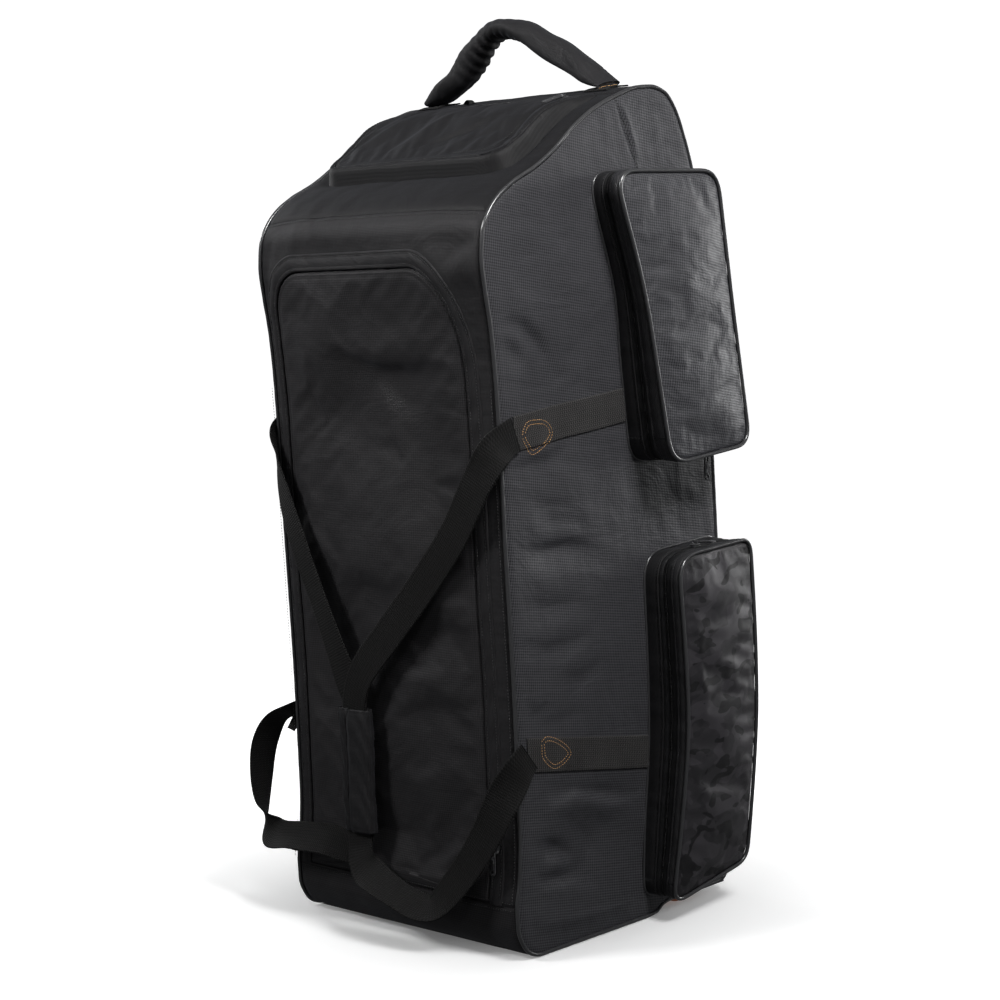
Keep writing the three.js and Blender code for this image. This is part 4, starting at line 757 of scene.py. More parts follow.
def glossyPiping():
    material, tree, shader = newMaterial("piping")
    where, u, v = clothPlace(tree)
    grain = noise(tree, where, 1400.0, 3.0, 0.6)
    kink = noise(tree, where, 1.0, 3.0, 0.6, 0.0, (160, 60, 1))
    base = mixColour(tree, grain, (0.0220, 0.0220, 0.0235, 1), (0.0480, 0.0480, 0.0505, 1))
    rough = 0.22 + kink * 0.20
    finishShader(tree, shader, base, rough, kink * 0.8 + grain * 0.25, 0.00035, {
        "Coat Weight": 0.9, "Coat Roughness": 0.14, "Specular IOR Level": 0.5})
    return material


def zipTape():
    material, tree, shader = newMaterial("zip_tape")
    where, u, v = clothPlace(tree)
    tooth = (u * (2 * math.pi / 0.0026)).sin()
    rib = (v * (2 * math.pi / 0.0011)).sin()
    fuzz = noise(tree, where, 800.0, 2.0, 0.6)
    base = mixColour(tree, (rib * 0.25 + fuzz * 0.7 + 0.1).clip(),
                     (0.0050, 0.0050, 0.0056, 1), (0.0150, 0.0150, 0.0165, 1))
    finishShader(tree, shader, base, 0.62, rib * 0.4 + fuzz * 0.4 + tooth * 0.12, 0.00030, {
        "Specular IOR Level": 0.35})
    return material


def zipCoil():
    material, tree, shader = newMaterial("zip_coil")
    where, u, v = clothPlace(tree)
    tooth = (u * (2 * math.pi / 0.0016)).sin() * 0.5 + 0.5
    worn = noise(tree, where, 300.0, 3.0, 0.6)
    base = mixColour(tree, tooth * worn, (0.0040, 0.0040, 0.0044, 1), (0.0110, 0.0110, 0.0120, 1))
    finishShader(tree, shader, base, 0.55 + worn * 0.15, tooth, 0.00055, {"Specular IOR Level": 0.2})
    return material


def objectPlace(tree):
    return add(tree, "ShaderNodeTexCoord", {}, {}, 3)


def mouldedPlastic(name, look):
    material, tree, shader = newMaterial(name)
    where = objectPlace(tree)
    grain = noise(tree, where, 900.0, 4.0, 0.65)
    scuff = noise(tree, where, 60.0, 5.0, 0.7, 0.4)
    mark = scuff.between(0.60, 0.72)
    base = mixColour(tree, mark * 0.6, look["base"], look["worn"])
    rough = look["roughness"] + mark * 0.18 + grain * 0.06
    finishShader(tree, shader, base, rough, grain * 0.6 + scuff * 0.3, 0.00022, {
        "Specular IOR Level": 0.5})
    return material


def dullMetal(name, look):
    material, tree, shader = newMaterial(name)
    where = objectPlace(tree)
    rub = noise(tree, where, 240.0, 4.0, 0.65)
    fine = noise(tree, where, 1600.0, 2.0, 0.6)
    worn = rub.between(0.55, 0.70)
    base = mixColour(tree, worn, look["base"], look["worn"])
    rough = look["roughness"] + fine * 0.10 - worn * 0.08
    finishShader(tree, shader, base, rough, fine * 0.6 + rub * 0.4, 0.00012, {
        "Metallic": look["metallic"], "Specular IOR Level": 0.5})
    return material


def softTyre():
    material, tree, shader = newMaterial("orange_tyre")
    where = objectPlace(tree)
    dust = noise(tree, where, 110.0, 5.0, 0.65, 0.3)
    fine = noise(tree, where, 1300.0, 2.0, 0.6)
    grime = dust.between(0.48, 0.68)
    base = mixColour(tree, grime * 0.45, (0.52, 0.120, 0.022, 1), (0.30, 0.078, 0.024, 1))
    finishShader(tree, shader, base, 0.42 + grime * 0.25, fine * 0.4 + dust * 0.5, 0.00025, {
        "Specular IOR Level": 0.5})
    return material


def threadLook(name, dark, light):
    material, tree, shader = newMaterial(name)
    where = objectPlace(tree)
    twist = noise(tree, where, 1500.0, 2.0, 0.5)
    base = mixColour(tree, twist, dark, light)
    finishShader(tree, shader, base, 0.6, twist, 0.0001, {"Sheen Weight": 0.2})
    return material


camo = camoCloth()
webbing = ribbedWeb("webbing", {
    "rib": 0.0030, "thread": 0.0022, "bump": 0.00040,
    "dark": (0.0024, 0.0023, 0.0023, 1), "light": (0.0098, 0.0094, 0.0093, 1)})
# painted light: the side straps get a lighter copy of the webbing, standing in for the key light that falls
# on the sides
sideWebbingPaintedLight = ribbedWeb("side_webbing_painted_light", {
    "rib": 0.0030, "thread": 0.0022, "bump": 0.00040,
    "dark": (0.0100, 0.0096, 0.0096, 1), "light": (0.0590, 0.0565, 0.0560, 1)})
piping = glossyPiping()
zipCloth = zipTape()
coil = zipCoil()
moulding = mouldedPlastic("moulding", {
    "base": (0.0100, 0.0100, 0.0108, 1), "worn": (0.030, 0.030, 0.032, 1), "roughness": 0.46})
hubPlastic = mouldedPlastic("hub_plastic", {
    "base": (0.0140, 0.0140, 0.0150, 1), "worn": (0.040, 0.040, 0.042, 1), "roughness": 0.38})
axleSteel = dullMetal("axle_steel", {
    "base": (0.28, 0.28, 0.29, 1), "worn": (0.45, 0.45, 0.45, 1), "roughness": 0.34, "metallic": 1.0})
zipMetal = dullMetal("zip_metal", {
    "base": (0.080, 0.080, 0.084, 1), "worn": (0.500, 0.500, 0.505, 1), "roughness": 0.26,
    "metallic": 0.4})
tyreRubber = softTyre()
darkThread = threadLook("dark_thread", (0.003, 0.003, 0.0034, 1), (0.012, 0.012, 0.0132, 1))
tanThread = threadLook("tan_thread", (0.48, 0.235, 0.070, 1), (0.78, 0.430, 0.160, 1))
print("materials made")


# stitches: short rounded threads laid along a line that sits on the cloth

def stitchMesh(name, lines, material, pitch=0.0034, thick=0.00042, share=0.62):
    verts, faces = [], []
    for path, out in lines:
        p = np.asarray(path, float)
        s = runLength(p)
        count = int(s[-1] / pitch)
        if count < 1:
            continue
        for k in range(count):
            a, b = (k + 0.5 - share / 2) * pitch, (k + 0.5 + share / 2) * pitch
            at = [np.array([np.interp(t, s, p[:, i]) for i in range(3)]) for t in (a, (a + b) / 2, b)]
            n = np.array([np.interp((a + b) / 2, s, np.asarray(out)[:, i]) for i in range(3)])
            along = unit(at[2] - at[0])
            n = unit(n - (n @ along) * along)
            side = np.cross(along, n)
            base = len(verts)
            verts.append(at[0] - n * thick * 0.5)
            nearStart, nearEnd = at[0] * 0.75 + at[1] * 0.25, at[2] * 0.75 + at[1] * 0.25
            for q, wide in ((nearStart, 0.8), (at[1], 1.0), (nearEnd, 0.8)):
                for m in range(5):
                    angle = 2 * math.pi * m / 5
                    verts.append(q + n * thick * 0.25 + wide * thick
                                 * (side * math.cos(angle) + n * math.sin(angle)))
            verts.append(at[2] - n * thick * 0.5)
            for m in range(5):
                faces.append((base, base + 1 + (m + 1) % 5, base + 1 + m))
                for ring in (0, 1):
                    c, d = base + 1 + ring * 5, base + 6 + ring * 5
                    faces.append((c + m, c + (m + 1) % 5, d + (m + 1) % 5, d + m))
                faces.append((base + 16, base + 11 + m, base + 11 + (m + 1) % 5))
    obj = makeObject(name, verts, faces)
    return place(obj, material)


# front: border, cover strip and flap, each a patch of the bowed front

flap = {
    "left": -0.425 * bag["width"], "right": 0.388 * bag["width"], "top": 0.799 * bag["height"],
    "corner": 0.19 * bag["width"], "flyWidth": 0.052 * bag["width"],
    "flyRaise": 0.0014, "flapRaise": 0.0006, "spacing": 0.0046, "roll": 0.0032,
}


def flapLine(margin, foot):
    left, right = flap["left"] - margin, flap["right"] + margin
    top, corner = flap["top"] + margin, flap["corner"] + margin
    angle = np.linspace(0, math.pi / 2, 26)
    near, high = 1 - np.cos(angle), np.sin(angle)
    leftArc = np.stack([left + corner * 0.7 * near, top - corner * 0.8 * (1 - high)], 1)
    rightArc = np.stack([right - corner * near, top - corner * 1.7 * (1 - high)], 1)
    return np.concatenate([[(left, foot)], leftArc, rightArc[::-1], [(right, foot)]])


kickZ = float(outlineAt(seamRow["kick"])[1])


def flapLoop(margin):
    line = flapLine(margin, kickZ + 0.0004)
    line = evenLoop(line, flap["spacing"] * 0.8, closed=False)
    return np.stack([line[:, 0], frontLengthAt(line[:, 1])], 1)


def wrapPatch(name, loop, raised, insets=(), hole=None, spacing=None):
    verts, tris = fillLoop(loop, spacing or flap["spacing"], insets, hole)
    inside = fromLoop(verts, leftTurn(loop))
    if hole is not None:
        inside = np.minimum(inside, fromLoop(verts, hole) + 1)
    points = wrapPoint(verts[:, 0], rowAt(verts[:, 1]), raised(verts, inside))
    order = tris[:, ::-1]
    return makeObject(name, points, order, verts)


def seamDip(inside, depth=0.0009, wide=0.0032):
    return -depth * ramp(wide, 0, inside)


def frameLoop(low, high, margin=0.0):
    a, b = lengthAt(low) + margin, lengthAt(high) - margin
    return evenLoop([(-wrapHalf, a), (wrapHalf, a), (wrapHalf, b), (-wrapHalf, b)], 0.0040)


stripLine = flapLine(flap["flyWidth"] + 0.0098, kickZ)
stripLine = np.stack([stripLine[:, 0], frontLengthAt(stripLine[:, 1])], 1)


def frameRaise(verts, inside):
    far, share, side = fromLine(verts[:, 0], verts[:, 1], stripLine)
    low = ramp(0.78, 0.68, np.interp(verts[:, 1], fineLength, fineLine[:, 1]))
    groove = -0.0010 * np.exp(-((far / 0.0016) ** 2)) + 0.0005 * np.exp(-(((far - 0.003) / 0.0022) ** 2))
    return seamDip(inside) + groove * (0.12 + 0.88 * low)


frontFrame = wrapPatch("frontFrame", frameLoop(seamRow["kick"], seamRow["shoulder"], 0.0002),
                       frameRaise, (0.0016, 0.0034), leftTurn(flapLoop(0.006)), 0.0042)
place(frontFrame, flyCloth, "front_cloth", ["front_frame"])
asSheet(frontFrame, 0.060, 1.90)

flapInner = flapLoop(-0.0006)


def flapRaise(verts, inside):
    rim = 0.0007 * np.exp(-(((inside - 0.0055) / 0.0016) ** 2))
    return flap["flapRaise"] + 0.0006 - 0.0030 * ramp(0.0030, 0, inside) - rim


mainFlap = wrapPatch("mainFlap", flapInner, flapRaise, (0.0010, 0.0022, 0.0038, 0.0055, 0.0075))
place(mainFlap, frontCloth, "front_cloth", ["main_flap"])
flapRim = np.array([(v.co.x, v.co.z) for v in mainFlap.data.vertices])
flapSeam = leftTurn(evenLoop(flapLine(-0.0006, kickZ), 0.01))
settle(mainFlap, fromLoop(flapRim, flapSeam) < 0.010, pressure=0.5, slack=0.0045, most=0.004)
asSheet(mainFlap, 0.31, 0.70)


def flyStrip():
    steps = 560
    profile = [(0.0000, -0.0026), (0.0002, -0.0010), (0.0010, -0.0002), (0.0024, 0.0002),
               (0.0036, -0.0004), (0.0048, 0.0000), (0.0090, 0.0005), (0.0130, 0.0001),
               (0.0148, -0.0006), (0.0160, -0.0002), (0.0174, -0.0002), (0.0184, -0.0010),
               (0.0187, -0.0026)]
    rings, flat = [], []
    for across, rise in profile:
        line = flapLine(across, kickZ + 0.0004)
        s = runLength(line)
        s = s / s[-1]
        t = np.linspace(0, 1, steps)
        x, z = np.interp(t, s, line[:, 0]), np.interp(t, s, line[:, 1])
        ripple = 0.00035 * np.sin(t * 260) * hump(across / flap["flyWidth"])
        point = wrapPoint(x, rowAt(frontLengthAt(z)), flap["flyRaise"] + rise + ripple)
        rings.append(point)
        long = runLength(point)
        flat.append(np.stack([np.full(steps, across), long], 1))
    grid = np.array(rings)
    return makeObject("zipFly", grid.reshape(-1, 3), gridFaces(len(profile), steps),
                      np.concatenate(flat))


zipFly = flyStrip()
place(zipFly, flyCloth, "fly_cloth", ["zip_fly"])
asSheet(zipFly, 0.030, 1.72)


def sewnRaise(verts, inside):
    return seamDip(inside)


def wrapBand(name, low, high, raised=sewnRaise, insets=(0.0016, 0.0034), spacing=0.0050):
    return wrapPatch(name, frameLoop(low, high, 0.0002), raised, insets, None, spacing)


frontKick = wrapBand("frontKick", seamRow["floorFront"], seamRow["kick"])
place(frontKick, frontCloth, "front_cloth", ["front_kick"])
asSheet(frontKick, 0.352, 0.075)

bottomPanel = wrapBand("bottomPanel", seamRow["trayFront"] + 0.02, seamRow["floorFront"],
                       lambda verts, inside: -0.0002 + 0 * inside, (), 0.0080)
place(bottomPanel, bottomCloth, "bottom_cloth", ["bottom_panel"])
asSheet(bottomPanel, 0.352, 0.24)

# the top, crest and end pocket panels use the darker copy of the front cloth, which is painted shade
topPanel = wrapBand("topPanel", seamRow["shoulder"], seamRow["crest"])
place(topPanel, topClothPaintedShade, "front_cloth", ["top_panel"])
asSheet(topPanel, 0.352, 0.27)

crestPanel = wrapBand("crestPanel", seamRow["crest"], seamRow["back"])
place(crestPanel, topClothPaintedShade, "front_cloth", ["crest_panel"])
asSheet(crestPanel, 0.352, 0.19)

backPanel = wrapBand("backPanel", seamRow["back"], seamRow["trayBack"], spacing=0.0070)
place(backPanel, frontCloth, "front_cloth", ["back_panel"])
asSheet(backPanel, 0.352, 0.75)
print("wrap made")


# raised pocket on the slanted top

endPocket = {
    "front": -0.345 * bag["depth"], "back": 0.105 * bag["depth"], "half": 0.432 * bag["width"],
    "corner": 0.11 * bag["width"], "backCorner": 0.05 * bag["width"],
    "rise": 0.016, "slope": 0.0085, "seat": 0.0016,
}


def endLoop(inset):
    e = endPocket
    return roundedLoop([
        (inset - e["half"] * 0.93, e["front"] + inset, e["corner"] - inset * 0.5),
        (e["half"] * 0.93 - inset, e["front"] + inset, e["corner"] - inset * 0.5),
        (e["half"] - inset, e["back"] - inset, e["backCorner"] - inset * 0.5),
        (inset - e["half"], e["back"] - inset, e["backCorner"] - inset * 0.5)])


topRows = (fineRow >= seamRow["shoulder"] - 1) & (fineRow <= seamRow["back"])
lidFolds = [
    {"line": [(-0.135, -0.085), (-0.080, -0.030), (-0.040, 0.020)], "wide": 0.007, "deep": 0.0018},
    {"line": [(-0.060, -0.090), (-0.010, -0.040), (0.030, 0.010)], "wide": 0.008, "deep": 0.0020},
    {"line": [(-0.020, -0.085), (0.050, -0.060), (0.105, -0.020)], "wide": 0.006, "deep": -0.0014},
    {"line": [(0.040, -0.020), (0.090, 0.010), (0.110, 0.030)], "wide": 0.007, "deep": 0.0016},
    {"line": [(-0.120, -0.020), (-0.060, 0.015), (-0.020, 0.030)], "wide": 0.008, "deep": -0.0016},
]


def endSurface(x, y, extra):
    loop = endLoop(0)
    inside = fromLoop(np.stack([x, y], 1), loop)
    climb = ramp(0, endPocket["slope"], inside)
    fade = 1 - 0.85 * ramp(-0.12, 0.09, y / bag["depth"])
    right = ramp(0.02, 0.10, x) * ramp(-0.115, -0.085, y)
    groove = -0.0016 * np.exp(-(((inside - 0.0240) / 0.0016) ** 2)) * right
    groove = groove - 0.0018 * np.exp(-(((inside - 0.0122) / 0.0012) ** 2))
    welt = 0.0012 * np.exp(-(((inside - 0.0098) / 0.0014) ** 2)) * fade
    sag = creaseLift(x, y, lidFolds) * ramp(0.014, 0.030, inside)
    lift = endPocket["seat"] + endPocket["rise"] * climb * fade + groove + welt + sag
    row = np.interp(y, fineLine[topRows, 0], fineRow[topRows])
    return wrapPoint(x, row, lift + extra(inside))


def endPatch(name, outer, inner, insets, extra, spacing=0.0036):
    verts, tris = fillLoop(evenLoop(outer, 0.0030), spacing, insets,
                           None if inner is None else leftTurn(evenLoop(inner, 0.0030)))
    points = endSurface(verts[:, 0], verts[:, 1], extra)
    return makeObject(name, points, tris, verts)


endGusset = endPatch("endGusset", endLoop(0), endLoop(0.0118), (0.0010, 0.0022, 0.0036, 0.0052),
                     lambda inside: -0.0030 * ramp(0.0016, 0, inside), 0.0022)
place(endGusset, topClothPaintedShade, "front_cloth", ["end_gusset"])
asSheet(endGusset, 0.022, 0.90)
endLid = endPatch("endLid", endLoop(0.0124), None, (0.0010, 0.0022, 0.0040, 0.0060, 0.0100, 0.0116, 0.0132),
                  lambda inside: -0.0012 * ramp(0.0140, 0.0124, inside))
place(endLid, topClothPaintedShade, "front_cloth", ["end_lid"])
lidRim = np.array([(v.co.x, v.co.y) for v in endLid.data.vertices])
settle(endLid, fromLoop(lidRim, endLoop(0.0108)) < 0.004, pressure=0.8, slack=0.009, most=0.004)
print("end pocket made")


# side panels with their cords

sideLine = evenLoop(leftTurn(fineLine[:-1]), 0.0048)
sideLoop = insetLoop(sideLine, bag["pipingRadius"] + 0.0001)


def sidePanel(name, side):
    verts, tris = fillLoop(sideLoop, 0.0042, (0.0018, 0.0040))
    inside = fromLoop(verts, sideLoop)
    x = sideCloth(verts[:, 0], verts[:, 1], inside)
    points = np.stack([side * x, verts[:, 0], verts[:, 1]], 1)
    return makeObject(name, points, tris if side > 0 else tris[:, ::-1], verts)


sideRight = sidePanel("sidePanelRight", 1)
place(sideRight, sideOxford, "side_oxford", ["side_panel_right"])
asSheet(sideRight, 0.37, 0.94)
sideLeft = sidePanel("sidePanelLeft", -1)
place(sideLeft, sideOxford, "side_oxford", ["side_panel_left"])
asSheet(sideLeft, 0.37, 0.94)

for side, word in ((1, "right"), (-1, "left")):
    line = evenLoop(leftTurn(fineLine[:-1]), 0.0035)
    path = np.stack([np.full(len(line), side * pipingX), line[:, 0], line[:, 1]], 1)
    wobble = 1 + 0.05 * np.sin(np.arange(len(path)) * 0.9) * np.sin(np.arange(len(path)) * 0.13)
    cord = tubeMesh("piping" + word.capitalize(), path, bag["pipingRadius"] * wobble, 12)
    place(cord, piping, "piping", ["piping_" + word])
print("sides made")


# box pockets on the right side

pockets = {
    "upper": {
        "corners": [(0.078, 0.556, 0.075), (0.466, 0.568, 0.065), (0.442, 0.745, 0.0),
                    (0.428, 0.899, 0.075), (-0.060, 0.899, 0.090), (0.030, 0.760, 0.14)],
        "top": 0.036, "bottom": 0.060, "belly": 0.0, "material": pocketCloth, "slot": "pocket_oxford",
        "folds": [{"line": [(0.040, 0.545), (0.080, 0.556), (0.120, 0.560)], "wide": 0.010, "deep": -0.0014},
                  {"line": [(0.020, 0.700), (0.045, 0.640), (0.050, 0.590)], "wide": 0.014, "deep": 0.0016}],
    },
    "lower": {
        "corners": [(0.070, 0.026, 0.060), (0.438, 0.052, 0.045), (0.470, 0.240, 0.0),
                    (0.484, 0.452, 0.040), (0.122, 0.445, 0.090), (0.128, 0.240, 0.12)],
        "top": 0.050, "bottom": 0.041, "belly": 0.010, "material": camo, "slot": "camo_cloth",
        "folds": [{"line": [(0.060, 0.300), (0.072, 0.260), (0.066, 0.220)], "wide": 0.008, "deep": 0.0018},
                  {"line": [(0.070, 0.170), (0.110, 0.150), (0.150, 0.155)], "wide": 0.012, "deep": -0.0018},
                  {"line": [(0.060, 0.345), (0.090, 0.352), (0.120, 0.345)], "wide": 0.008, "deep": -0.0014}],
    },
}
bedDepth, zipSink, faceBulge, wallSheet = 0.004, 0.0008, 0.007, 0.0016


def pocketShape(look):
    corners = [(y * bag["depth"], z * bag["height"], r * bag["depth"]) for y, z, r in look["corners"]]
    return evenLoop(leftTurn(roundedLoop(corners, 14)), 0.0032)


def pocketPiece(name, look):
    line = pocketShape(look)
    for _ in range(6):
        line = (np.roll(line, 1, 0) + 2 * line + np.roll(line, -1, 0)) / 4
    low, high = line[:, 1].min(), line[:, 1].max()

    def faceX(z):
        t = np.clip((z - low) / (high - low), 0, 1)
        return halfWidth + look["bottom"] * (1 - t) + look["top"] * t + look["belly"] * hump(t)

    around = runLength(np.concatenate([line, line[:1]]))[:-1]

    def wall(title, profile, material, slot, nodes):
        rings, flat = [], []
        for share, sink in profile:
            p = insetLoop(line, sink)
            puff = 0.0006 * waves(around, around * 0 + share * 0.03, 0.07, 11)
            base = sideSkin(p[:, 0], p[:, 1]) - bedDepth * 0.4
            x = base + (faceX(p[:, 1]) - base) * share
            p = insetLoop(line, sink + puff)
            rings.append(np.stack([x, p[:, 0], p[:, 1]], 1))
            flat.append(np.stack([around, x], 1))
        grid = np.array(rings)
        obj = makeObject(title, grid.reshape(-1, 3), gridFaces(len(profile), len(line), True),
                         np.concatenate(flat))
        place(obj, material, slot, nodes)
        return grid

    zipFrom = 0.40
    zipTo = zipFrom + 0.016 / (look["bottom"] * 1.05)
    # the gusset wall uses the darker copy of the pocket cloth, which is painted shade
    gussetGrid = wall(name + "Gusset", [
        (0.0, -0.0006), (0.05, 0.0), (0.16, -0.0007), (0.28, -0.0004), (zipFrom - 0.075, 0.0002),
        (zipFrom - 0.052, 0.0007), (zipFrom - 0.030, -0.0002), (zipFrom - 0.006, -0.0003),
        (zipFrom + 0.004, 0.0008), (zipFrom - 0.004, 0.0022)],
        wallClothPaintedShade, "pocket_oxford", [name + "_gusset"])
    zipMiddle = (zipFrom + zipTo) / 2
    wall(name + "Zip", [
        (zipFrom - 0.010, zipSink + 0.0010), (zipFrom + 0.010, zipSink + 0.0004),
        (zipMiddle - 0.055, zipSink + 0.0002), (zipMiddle - 0.040, zipSink + 0.0009),
        (zipMiddle + 0.040, zipSink + 0.0009), (zipMiddle + 0.055, zipSink + 0.0002),
        (zipTo - 0.010, zipSink + 0.0004), (zipTo + 0.010, zipSink + 0.0010)],
        zipCloth, "zip_tape", [name + "_zip"])
    wall(name + "Coil", [
        (zipMiddle - 0.034, zipSink + 0.0012), (zipMiddle - 0.026, zipSink - 0.0001),
        (zipMiddle - 0.008, zipSink - 0.0005), (zipMiddle, zipSink + 0.0002),
        (zipMiddle + 0.008, zipSink - 0.0005), (zipMiddle + 0.026, zipSink - 0.0001),
        (zipMiddle + 0.034, zipSink + 0.0012)], coil, "zip_tape", [])
    # the rim uses the shaded copy of the pocket cloth, which is painted shade
    rimGrid = wall(name + "Rim", [
        (zipTo + 0.004, 0.0022), (zipTo - 0.004, 0.0008), (zipTo + 0.008, -0.0004),
        (zipTo + 0.030, -0.0005), (zipTo + 0.046, 0.0004), (zipTo + 0.070, -0.0004),
        (0.90, -0.0010), (0.985, -0.0002), (1.0, 0.0008)],
        rimClothPaintedShade, "pocket_oxford", [name + "_rim"])

    edgeLine = insetLoop(line, bag["pipingRadius"] * 0.2)
    path = np.stack([faceX(edgeLine[:, 1]) + bag["pipingRadius"] + bag["clearance"],
                     edgeLine[:, 0], edgeLine[:, 1]], 1)
    cord = tubeMesh(name + "Piping", path, bag["pipingRadius"], 12)
    place(cord, piping, "piping", [name + "_piping"])

    foot = insetLoop(line, -0.0012)
    footPath = np.stack([sideSkin(foot[:, 0], foot[:, 1]) + 0.0006, foot[:, 0], foot[:, 1]], 1)
    welt = tubeMesh(name + "Welt", footPath, 0.0013, 8)
    place(welt, piping, "piping")

    faceLoop = insetLoop(line, bag["pipingRadius"] * 1.15)
    verts, tris = fillLoop(faceLoop, 0.0044, (0.0012, 0.0028, 0.0048, 0.0075))
    inside = fromLoop(verts, faceLoop)
    lift = bag["pipingRadius"] * 0.3 + faceBulge * membrane(verts, tris, inside < 1e-6)
    lift = lift + creaseLift(verts[:, 0], verts[:, 1], look["folds"]) * ramp(0, 0.02, inside)
    lift = lift + 0.0005 * waves(verts[:, 0], verts[:, 1], 0.06, 17) * ramp(0, 0.02, inside)
    x = faceX(verts[:, 1]) + lift + wallSheet - 0.0012 * ramp(0.003, 0, inside)
    face = makeObject(name + "Face", np.stack([x, verts[:, 0], verts[:, 1]], 1), tris, verts)
    place(face, look["material"], look["slot"], [name + "_face"])
    settle(face, inside < 0.0030, pressure=0.8, slack=0.008, most=0.004)
    return {"line": line, "rows": {"gusset": gussetGrid[5], "rim": rimGrid[4]}}


upper = pocketPiece("upper", pockets["upper"])
lower = pocketPiece("lower", pockets["lower"])
print("pockets made")


# webbing and carry straps

def bandProfile(width, thickness):
    w, t = width / 2, thickness / 2
    return [(-w, 0.0), (-w + 0.0006, 0.85 * t), (-w + 0.0022, t), (-w + 0.0050, 0.80 * t),
            (-w * 0.5, 0.92 * t), (0.0, 0.95 * t), (w * 0.5, 0.92 * t), (w - 0.0050, 0.80 * t),
            (w - 0.0022, t), (w - 0.0006, 0.85 * t), (w, 0.0),
            (w - 0.0006, -0.85 * t), (w - 0.0022, -t), (w * 0.4, -0.9 * t), (-w * 0.4, -0.9 * t),
            (-w + 0.0022, -t), (-w + 0.0006, -0.85 * t)]


def skinBand(name, rings, flat, material, nodes):
    rows, count = rings.shape[:2]
    faces = gridFaces(rows, count, True) + endCaps(rows, count)
    obj = makeObject(name, rings.reshape(-1, 3), faces, flat.reshape(-1, 2))
    return place(obj, material, "webbing", nodes)


def bandMesh(name, middle, face, width, thickness, nodes):
    along = unit(np.gradient(middle, axis=0))
    side = unit(np.cross(along, face))
    normal = unit(np.cross(side, along))
    profile = bandProfile(width, thickness)
    s = runLength(middle)
    rings = np.stack([middle + a * side + b * normal for a, b in profile], 1)
    flat = np.stack([np.stack([s, np.full(len(s), a)], 1) for a, b in profile], 1)
    return skinBand(name, rings, flat, webbing, nodes)


def seatedBand(name, places, across, seatAt, width, thickness, material, nodes):
    profile = bandProfile(width, thickness)
    s = runLength(places)
    rings, flat = [], []
    for a, b in profile:
        at = places + a * across
        rings.append(seatAt(at[:, 0], at[:, 1], thickness / 2 + b))
        flat.append(np.stack([s, np.full(len(s), a)], 1))
    return skinBand(name, np.stack(rings, 1), np.stack(flat, 1), material, nodes)


straps = {
    "steps": 220,
    "right": [
        (1.021, -0.862, 0.607, 88, 0), (1.022, -0.935, 0.602, 78, 0), (1.008, -1.034, 0.589, 38, 4),
        (0.900, -1.078, 0.556, 12, 4), (0.700, -1.090, 0.495, 8, 2), (0.400, -1.095, 0.43, 8, 0),
        (0.100, -1.118, 0.369, 4, 0), (-0.140, -1.126, 0.32, 0, 0), (-0.238, -1.106, 0.283, 0, 0),
        (-0.250, -1.102, 0.24, 0, 0), (-0.250, -1.102, 0.16, 0, 0), (-0.245, -1.106, 0.12, 0, 0),
        (-0.190, -1.145, 0.09, 8, 16), (-0.060, -1.165, 0.077, 18, 50), (0.150, -1.165, 0.062, 24, 64),
        (0.330, -1.150, 0.053, 16, 58), (0.450, -1.140, 0.06, 8, 34), (0.660, -1.120, 0.099, 2, 12),
        (0.850, -1.098, 0.148, 8, 4), (0.960, -1.060, 0.189, 25, 0), (1.022, -0.960, 0.224, 70, 0),
        (1.021, -0.862, 0.2385, 88, 0)],
    "left": [
        (-1.021, -0.862, 0.607, -88, 0), (-1.016, -0.940, 0.599, -80, 0), (-0.985, -0.995, 0.573, -46, 4),
        (-0.850, -1.055, 0.52, -22, 4), (-0.700, -1.092, 0.468, -14, 2), (-0.550, -1.090, 0.405, -14, 0),
        (-0.420, -1.084, 0.348, -8, 0), (-0.320, -1.080, 0.305, 0, 0), (-0.258, -1.083, 0.283, 0, 0),
        (-0.250, -1.084, 0.24, 0, 0), (-0.250, -1.084, 0.16, 0, 0), (-0.250, -1.087, 0.12, 0, 0),
        (-0.330, -1.080, 0.104, -2, 6), (-0.600, -1.088, 0.106, -4, 34), (-0.900, -1.080, 0.102, -8, 44),
        (-1.200, -1.030, 0.097, -30, 34), (-1.305, -1.000, 0.122, -62, 16), (-1.325, -0.985, 0.165, -86, 6),
        (-1.290, -0.970, 0.208, -98, 10), (-1.190, -0.945, 0.24, -94, 30), (-1.090, -0.905, 0.248, -90, 34),
        (-1.021, -0.862, 0.2385, -88, 0)],
}


def strapPiece(word):
    rows = straps[word]
    places = [(x * halfWidth, y * halfDepth, z * bag["height"]) for x, y, z, turn, tip in rows]
    faces = []
    for x, y, z, turn, tip in rows:
        turn, tip = math.radians(turn), math.radians(tip)
        faces.append((math.sin(turn) * math.cos(tip), -math.cos(turn) * math.cos(tip), math.sin(tip)))
    middle = catmull(places, straps["steps"])
    face = catmull(faces, straps["steps"])
    return bandMesh("strap" + word.capitalize(), middle, face, bag["webWidth"], bag["webThickness"],
                    ["strap_" + word])


strapRight = strapPiece("right")
strapPiece("left")

sideWebs = {
    "upper": {"from": (-0.430, 0.6065), "to": (0.075, 0.6270)},
    "lower": {"from": (-0.430, 0.2390), "to": (0.128, 0.2045)},
    "leftEnd": 0.472,
}


def pocketEdge(line, height):
    a, b = line, np.roll(line, -1, 0)
    hit = (a[:, 1] - height) * (b[:, 1] - height) <= 0
    t = (height - a[hit, 1]) / (b[hit, 1] - a[hit, 1] + 1e-12)
    return (a[hit, 0] + t * (b[hit, 0] - a[hit, 0])).min()


